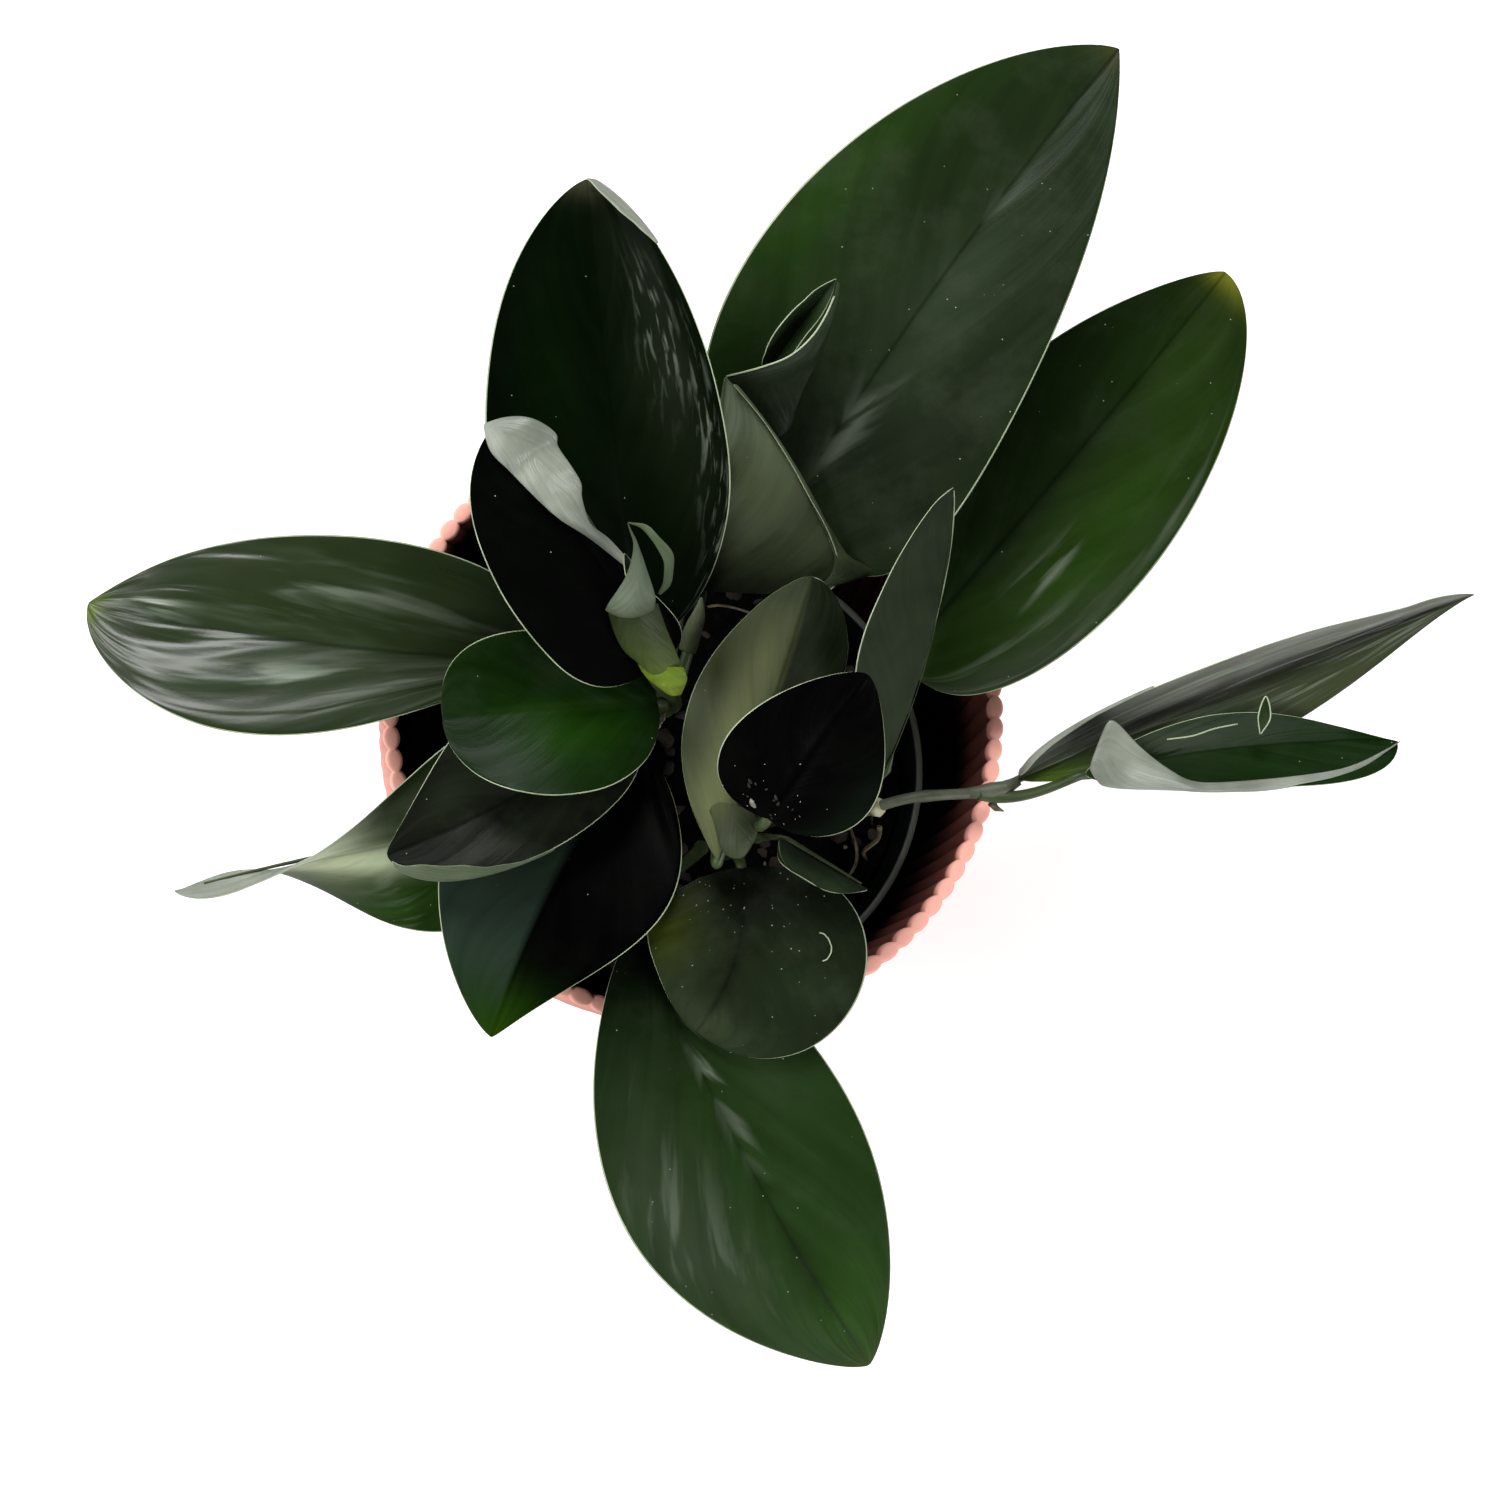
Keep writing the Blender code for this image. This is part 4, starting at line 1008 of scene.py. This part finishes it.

# ---- Great bottom leaf ----
# The second largest leaf hangs over the front of the pot, mid green, with painted highlights
# along the upper midrib, a patch of painted grey sheen, and painted shade where it comes out from under the
# others.
leaf("leaf_bottom_large", "leaf_green", green_skin, (3, -37, 122), (-18, -61, 145), (48, -180, 136),
     left=(24, 32.5, 23), right=(26, 38, 24), arch=6, sway=4, ends=(0.5, 0.75), fold=(6, 6),
     ground=(26, 46, 15), point=(44, 62, 20), columns=12, rows=44,
     patches=[(0.0, 0, 0.32, 2.0, (2, 4, 2), 0.98), (0.55, 0.7, 0.25, 0.35, (48, 58, 42), 0.8),
              (0.35, -0.6, 0.2, 0.4, (36, 52, 28), 0.6), (0.9, -0.2, 0.12, 0.8, (32, 62, 8), 0.8),
              (0.75, 0, 0.3, 0.06, (18, 32, 10), 0.7)],
     glints=[(0.28, -0.06, 0.1, 0.05, 0.8), (0.42, -0.05, 0.1, 0.04, 0.5), (0.55, 0.65, 0.2, 0.3, 0.25)])

# ---- Black middle leaf ----
# A small black leaf held up over the centre of the plant, spoon shaped, glossy, dusted
# with crumbs of the mix at its heel.
leaf("leaf_centre_black", "leaf_dark", black_skin, (11, -30, 152), (10, -33, 186), (33, 3, 202),
     left=(20, 19.5, 11), right=(18, 20, 12), arch=4, sway=-1, ends=(0.4, 0.6), fold=(10, 10),
     ground=(3, 3, 3), columns=10, rows=32, ripple=0.3, wave=0.3,
     # The dark green along one margin is painted sheen.
     patches=[(0.3, 1.0, 0.3, 0.3, (12, 20, 12), 0.8)])


def crumb_on(leaf_name, t, share, size, lift, turn):
    """A squashed crumb on a leaf's face, with its size and its lift off the face in mm."""
    row = blade_row(grown[leaf_name], t, 12)
    place, normal = row[round((share + 1) * 12)][:2]
    bpy.ops.mesh.primitive_ico_sphere_add(subdivisions=2, radius=1)
    crumb = bpy.context.object
    for point in crumb.data.vertices:
        ragged = 1 + 0.5 * noise.noise(point.co * 1.6 + Vector((turn, t, share)))
        a, b = point.co.x * size * ragged / 2, point.co.y * size * ragged * 0.3
        offset = Vector((a * math.cos(turn) - b * math.sin(turn), a * math.sin(turn) + b * math.cos(turn),
                         point.co.z * size * 0.25))
        point.co = (place + normal * lift + offset) * MM
    return crumb


def strewn(count, leaf_name, along, beside, size, lift):
    """Crumbs strewn over a stretch of a leaf's face."""
    return [crumb_on(leaf_name, chance.uniform(*along), chance.uniform(*beside), chance.uniform(*size), lift,
                     chance.uniform(0, 3)) for _ in range(count)]


def crumbs_on_leaf(name, crumbs, material, leaf_name):
    """Join crumbs into one piece that lies on a leaf."""
    pile = heap(name, crumbs, material)
    bpy.ops.object.shade_smooth()
    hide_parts(leaf_name)


chance = random.Random(41)
crumbs_on_leaf("crumbs_centre_black",
               strewn(11, "leaf_centre_black", (0.02, 0.2), (-0.7, 0.3), (0.7, 1.7), 0.7),
               bark, "leaf_centre_black")
crumbs_on_leaf("grit_centre_black", [crumb_on("leaf_centre_black", 0.07, -0.45, 2.3, 1.3, 2.1)]
               + strewn(14, "leaf_centre_black", (0.03, 0.3), (-0.8, 0.6), (0.25, 0.5), 0.5),
               perlite, "leaf_centre_black")

# The round front leaf has a few pale specks too, and one loose fibre lying in a curve.
crumbs_on_leaf("grit_front_round",
               strewn(17, "leaf_front_round", (0.04, 0.36), (-0.4, 0.8), (0.2, 0.55), 0.4),
               perlite, "leaf_front_round")
thread, thread_steps, fine_columns = [], 15, 120
for step in range(thread_steps):
    along, beside = 0.37 - 0.06 * math.cos(0.2 * step), 0.38 - 0.09 * math.sin(0.2 * step)
    row = blade_row(grown["leaf_front_round"], along, fine_columns)
    thread.append(row[round(fine_columns * beside)][0] + Vector((0, 0, 0.5)))
rod("thread_front_round", thread, [0.18] * thread_steps, rim_skin, "leaf_front_round", 2)

# ---- Upright middle leaf ----
# A leaf standing nearly on edge, creased like a roof, its paler side outward: olive grey on
# the left of the crease and darker on the right.
young_skin = leaf_skin("leaf_face_young", 0.46, 0.10, 0.06, 0.2, haze=0.2, dust=0.03)
leaf("leaf_centre_upright", "leaf_young", young_skin, (3, -34, 146), (0, -43, 170), (21, 30, 190),
     left=(16, 22, 15), right=(4, 15, 18), arch=4, ends=(0.9, 0.7), ends_right=(1.2, 0.4),
     fold=(-25, -25), ground=(62, 68, 42), right_ground=(25, 32, 18), columns=10, rows=36, ripple=0.6,
     patches=[(0.45, -0.35, 0.3, 0.2, (80, 84, 52), 0.9), (0.15, -0.6, 0.18, 0.5, (92, 98, 62), 0.85),
              (0.95, -0.5, 0.12, 0.8, (30, 38, 22), 0.8), (0.45, -0.8, 0.3, 0.2, (34, 42, 25), 0.7),
              (0.3, -0.05, 0.3, 0.12, (24, 30, 16), 0.6)])
sheet("lobe_centre_upright", "leaf_centre_upright", young_skin,
      [(-6, -26, 167.5), (-3, -30, 172), (-1.6, -35, 174.5), (-0.6, -39.5, 175), (1.5, -41.8, 174.5),
       (4, -42.2, 174)],
      [(4, -26, 171), (6, -28.5, 174.5), (8.5, -31.5, 177), (9, -34.5, 177.5), (8.4, -37.5, 177),
       (6, -41, 175)],
      [(72, 78, 50), (46, 52, 34), (60, 68, 50)], swell=2.2, rows=26, columns=10)

# ---- Rolled young leaf ----
# A new leaf half open behind the middle: one wide half is bent over like a sheet of paper,
# grey green and matt, paler up toward its tip, with painted shade at its heel.
leaf("leaf_rolled", "leaf_young", young_skin, (-10, 0, 142), (-4, 29, 167.5), (-2, 81, 192),
     left=(1, 1, 1), right=(35, 25, 11.5), arch=3, ends=(0.5, 0.5), ends_right=(0.17, 1.0),
     fold=(-25, -3), ground=(64, 73, 50), columns=12, rows=36, ripple=0.9,
     patches=[(0.85, 0.3, 0.2, 0.8, (88, 98, 78), 0.85), (0.5, 0.4, 0.15, 0.3, (62, 71, 46), 0.85),
              (0.58, 0.1, 0.06, 0.12, (28, 36, 24), 0.8), (0.0, 0.3, 0.16, 2.0, (16, 20, 9), 0.97),
              (0.2, 0.0, 0.3, 0.15, (24, 30, 14), 0.8)])
flap("rim_rolled", "leaf_rolled", 1, 0.03, 0.97, (0.8, 0.4, 0.3, 1.0, 0.6, 0.3, 0.9), (150, 150), under_skin,
     radius=0.8, rows=40, columns=8)
sheet("corner_rolled", "leaf_rolled", young_skin,
      [(26, 46.5, 178), (29, 42, 175.5), (30.5, 38, 173.5), (30, 34, 171), (27, 31, 169)],
      [(27.5, 46.8, 178.4), (31, 42.5, 176), (34.5, 38.5, 174.5), (41.8, 35, 172.5), (38, 33, 170.5)],
      [(60, 69, 46), (48, 56, 36), (34, 42, 26)], swell=1.2, rows=20)

# ---- Funnel leaf ----
# The newest leaf at the back is still rolled into a funnel, dark green inside. Below the
# mouth its outer side runs down, as a skirt, behind the rolled leaf's margin.
leaf("leaf_funnel", "leaf_young", young_skin, (-9.5, 2, 132), (9, 83, 188), (24, 104, 206),
     left=(7, 9, 4), right=(4, 5, 2.5), arch=-3, ends=(0.8, 0.8), fold=(40, 40), cup=(40, 40),
     lift=(0, 0.7, 0.55), ground=(30, 44, 22), columns=12, rows=30, ripple=0.1, wave=0.1)
sheet("skirt_funnel", "leaf_funnel", young_skin,
      [(24.3, 103.4, 206), (23.6, 99.5, 205.5), (21.5, 94.5, 204), (18.3, 89.5, 202), (13.5, 85.5, 198),
       (7, 83.6, 193), (-1, 82.5, 186.5), (1, 78, 183), (6, 72, 181), (11, 67, 180)],
      [(25.2, 102.8, 205.5), (24.8, 98.5, 204), (23.6, 93, 202.5), (22, 87, 200), (20, 82, 196),
       (18.5, 78, 192), (17.5, 74, 188), (17, 70, 184)],
      [(40, 50, 32), (24, 34, 18), (18, 26, 13), (16, 23, 12)], swell=1.8, rows=40)
rod("rim_funnel",
    smooth_path([(23.6, 99.5, 206), (21.5, 94.5, 204.4), (18.3, 89.5, 202.4), (13.5, 85.5, 198.4),
                 (7, 83.6, 193.4), (-1, 82.5, 186.9)], 30),
    [0.24] * 30, rim_skin, "leaf_funnel", 2)

# ---- Upright right leaf ----
# A leaf on edge at the right of the middle, turned so that its underside faces up and out,
# coloured darker than the other undersides with painted shade.
# A darker copy of the underside, darkened with painted shade.
shaded_underside_skin = plain_leaf_skin("leaf_underside_painted_shade", paint(22, 31, 18), paint(38, 48, 30), 0.5, 0.06)
leaf("leaf_right_upright", "leaf_dark", dull_skin, (43.5, -23.2, 134), (46, -17, 164), (54, 51, 206),
     left=(18, 23, 16), right=(20, 26, 18), sway=4, ends=(0.5, 0.6), fold=(20, 20),
     roll=(125, 125), under=shaded_underside_skin, rib=0.12, stalk=1.0, ground=(34, 46, 28), columns=10, rows=36)
margin = [blade_row(grown["leaf_right_upright"], 0.03 + 0.94 * k / 29, 6)[0][0] for k in range(30)]
rod("rim_right_upright", margin, [0.42] * 30, rim_skin, "leaf_right_upright", 2)

# ---- Leaf at the end of the creeping stem ----
# A long blade creased steeply along its midrib: the back half stands up as a strip painted grey
# with sheen, and the front half lies in dark green streaked by its ripples and by painted highlights,
# yellowing toward the heel.
# The runner tip's face: its grey strip is painted sheen and its pale streaks painted highlights, over a real
# gloss.
sheen_painted_skin = leaf_skin("leaf_face_sheen_painted", 0.36, 0.20, 0.05, 0.25, haze=0.1, grain=(3, 5), detail=2.0,
                          sweep=-0.6, dash=(3, 7), dust=0.02)
leaf("leaf_runner_tip", "leaf_dark", sheen_painted_skin, (78, -22.3, 149.8), (88, -18.5, 152.5), (216, 34, 172),
     left=(14, 12, 6), right=(12, 17, 7.5), arch=4, sway=-2, ends=(0.5, 0.7), fold=(55, -6),
     fold_tip=(50, -4), lift=(1, 0.1, 0.05), ground=(104, 106, 98), right_ground=(46, 52, 34), columns=12,
     rows=44, ripple=0.7, stalk=1.1, under=under_skin,
     patches=[(0.7, 0.1, 0.4, 0.22, (18, 22, 15), 0.9), (0.7, -0.12, 0.3, 0.16, (30, 32, 26), 0.85),
              (0.6, 0.75, 0.35, 0.3, (50, 58, 36), 0.7),
              (0.06, 0.7, 0.09, 0.9, (62, 84, 4), 0.95), (0.12, -0.5, 0.15, 0.8, (22, 30, 14), 0.9)],
     glints=[(0.5, -0.5, 0.35, 0.25, 1.0), (0.65, 0.45, 0.3, 0.2, 0.8), (0.3, 0.0, 0.12, 0.2, 0.7)])
flap("rim_runner_tip", "leaf_runner_tip", 0, 0.0, 0.3, (1.4, 0.8, 0.3, 0.1), (120, 100), sheened_underside_skin,
     radius=0.6, rows=20, columns=6)

# ---- Boat-shaped leaf ----
# Beside it a leaf still folded like a boat, bright green inside, its underside turned
# outward along the near side, made paler with painted sheen.
leaf("leaf_runner_boat", "leaf_green", green_skin, (78, -22.8, 149.3), (103, -18, 165), (192, -8, 171),
     left=(8, 11, 5), right=(8, 12.5, 13), arch=-4, sway=-3, ends=(0.5, 0.8), ends_right=(0.6, 0.45),
     fold=(20, 20), cup=(20, 5), lift=(1, -0.25, -0.02), ground=(10, 34, 2), columns=12, rows=40,
     ripple=0.3, wave=0.3, stalk=1.3, patches=[(0.1, -0.3, 0.3, 0.9, (42, 54, 32), 0.85)])
sheet("flap_runner_boat", "leaf_runner_boat", sheened_underside_skin,
      [(103, -17, 168), (105, -20, 167.5), (110, -22, 167), (133, -22, 166.5), (148, -21, 167),
       (163, -20, 168), (178, -17, 169.5), (192, -8, 172.5)],
      [(104, -10, 173), (107, -4, 175), (115, -11, 174.5), (124, -17, 172.5), (133, -20, 169.5),
       (148, -19.5, 169.5), (163, -18, 170), (178, -15, 171.5), (192, -8.3, 172.5)],
      [(124, 126, 114)] * 2, swell=2.4, rows=44, columns=10, ruck=0.5)
sheet("sprout_runner_boat", "leaf_runner_boat", young_skin,
      [(150, -7, 173.5), (148.8, -2, 175.5), (150.5, 3, 177)],
      [(150, -7, 173.5), (152.3, -2.5, 175.5), (150.5, 3, 177)],
      [(30, 46, 16), (24, 38, 12)], swell=0.5, rows=14, columns=6, ruck=0.1)
rod("sprout_margin", smooth_path([(123, -9, 174), (130, -8, 175), (136, -6, 175.5), (143, -4.5, 175)], 16),
    [0.2] * 16, rim_skin, "leaf_runner_boat", 2)
rod("sprout_loop", smooth_path([(150, -7, 173.7), (148.8, -2, 175.8), (150.5, 3, 177.2),
                                (152.3, -2.5, 175.8), (150.3, -7, 173.7)], 24), [0.2] * 24, rim_skin,
    "leaf_runner_boat", 2)

# ---- Furled young leaf ----
# The pale new leaf at the top of the left stem, not yet unrolled: its margins wrap in from
# both sides, and its torn sheath is yellow green at the base.
leaf("leaf_young_furled", "leaf_young", young_skin, (-10.4, -0.6, 158), (-18, 3, 182), (-30, 31, 208),
     left=(5, 6, 3), right=(5, 6, 3), arch=2, ends=(0.5, 0.5), fold=(15, 15), cup=(165, 150),
     cup_tip=(150, 110), lift=(0.05, 0.05, 1), ground=(30, 38, 20), columns=12, rows=34,
     ripple=0.2, wave=0.2, roll=(-20, 0))
sheet("wrap_young_furled", "leaf_young_furled", young_skin,
      [(-31, 36, 222), (-29, 31, 218), (-30, 25, 210), (-33, 20, 203), (-34, 18, 200)],
      [(-31, 36, 222), (-28, 31, 219), (-24.6, 26, 211), (-22, 21, 206), (-21.8, 18, 203)],
      [(56, 66, 46), (84, 94, 76), (98, 108, 92), (66, 74, 54)], swell=3, ruck=0.6)
sheet("body_young_furled", "leaf_young_furled", young_skin,
      [(-33, 18, 198), (-31, 13, 195), (-28, 9, 192), (-22, 5.5, 189), (-18, 2, 187)],
      [(-21, 20, 203), (-18, 14, 198.5), (-14.5, 8, 194), (-13, 4, 191), (-14, 1, 188)],
      [(38, 48, 26), (52, 62, 34), (70, 84, 36), (80, 98, 28)], swell=3.5, ruck=0.6)
sheet("hook_young_furled", "leaf_young_furled", young_skin,
      [(-31, 36, 222), (-27, 35, 225), (-24, 32, 226), (-20, 29, 222), (-19, 26, 216), (-19, 23, 211),
       (-21, 21, 207)],
      [(-31, 36, 222), (-28, 34.6, 223), (-25, 31.4, 223), (-22, 28, 219), (-21, 25.7, 214),
       (-20.8, 23.3, 210), (-21.5, 21.5, 207)],
      [(70, 80, 56), (78, 90, 66), (50, 60, 40)], swell=0.8)
sheet("bract_young_furled", "leaf_young_furled", young_skin,
      [(-24.5, 6, 190), (-22, 2.5, 190), (-16, -1.6, 189)], [(-13, 5, 194), (-12, 2, 193), (-13, -1.4, 190)],
      [(84, 104, 26), (98, 114, 36)], swell=1.6, rows=14, ruck=0.8)

# ---- Small folded leaf behind the furled one ----
# A short leaf, still half closed, that stands in the gap between the furled leaf and the
# upright one; only its bent top shows.
sheet("fold_rolled", "leaf_rolled", young_skin,
      [(-11, 13, 170), (-10, 18, 173), (-8, 22, 175), (-6, 26, 176)],
      [(-6, 12, 169), (-5, 17, 172), (-4.5, 21, 174), (-5.5, 26, 176)],
      [(60, 68, 44), (70, 78, 56), (84, 92, 70)], swell=1.8, rows=18)

# ---- Smallest leaf ----
# A thumbnail of a leaf, still rolled lengthwise, beside the round front leaf.
leaf("leaf_young_front", "leaf_young", young_skin, (13, -36, 156), (16, -37.5, 170), (39, -50.5, 174),
     left=(7, 8, 5), right=(7, 8, 5), arch=1, ends=(0.5, 0.5), fold=(20, 20), cup=(150, 150),
     roll=(-70, -100), ground=(28, 42, 20), under=shaded_underside_skin, columns=10, rows=24, ripple=0.1, wave=0.1,
     stalk=0.8)
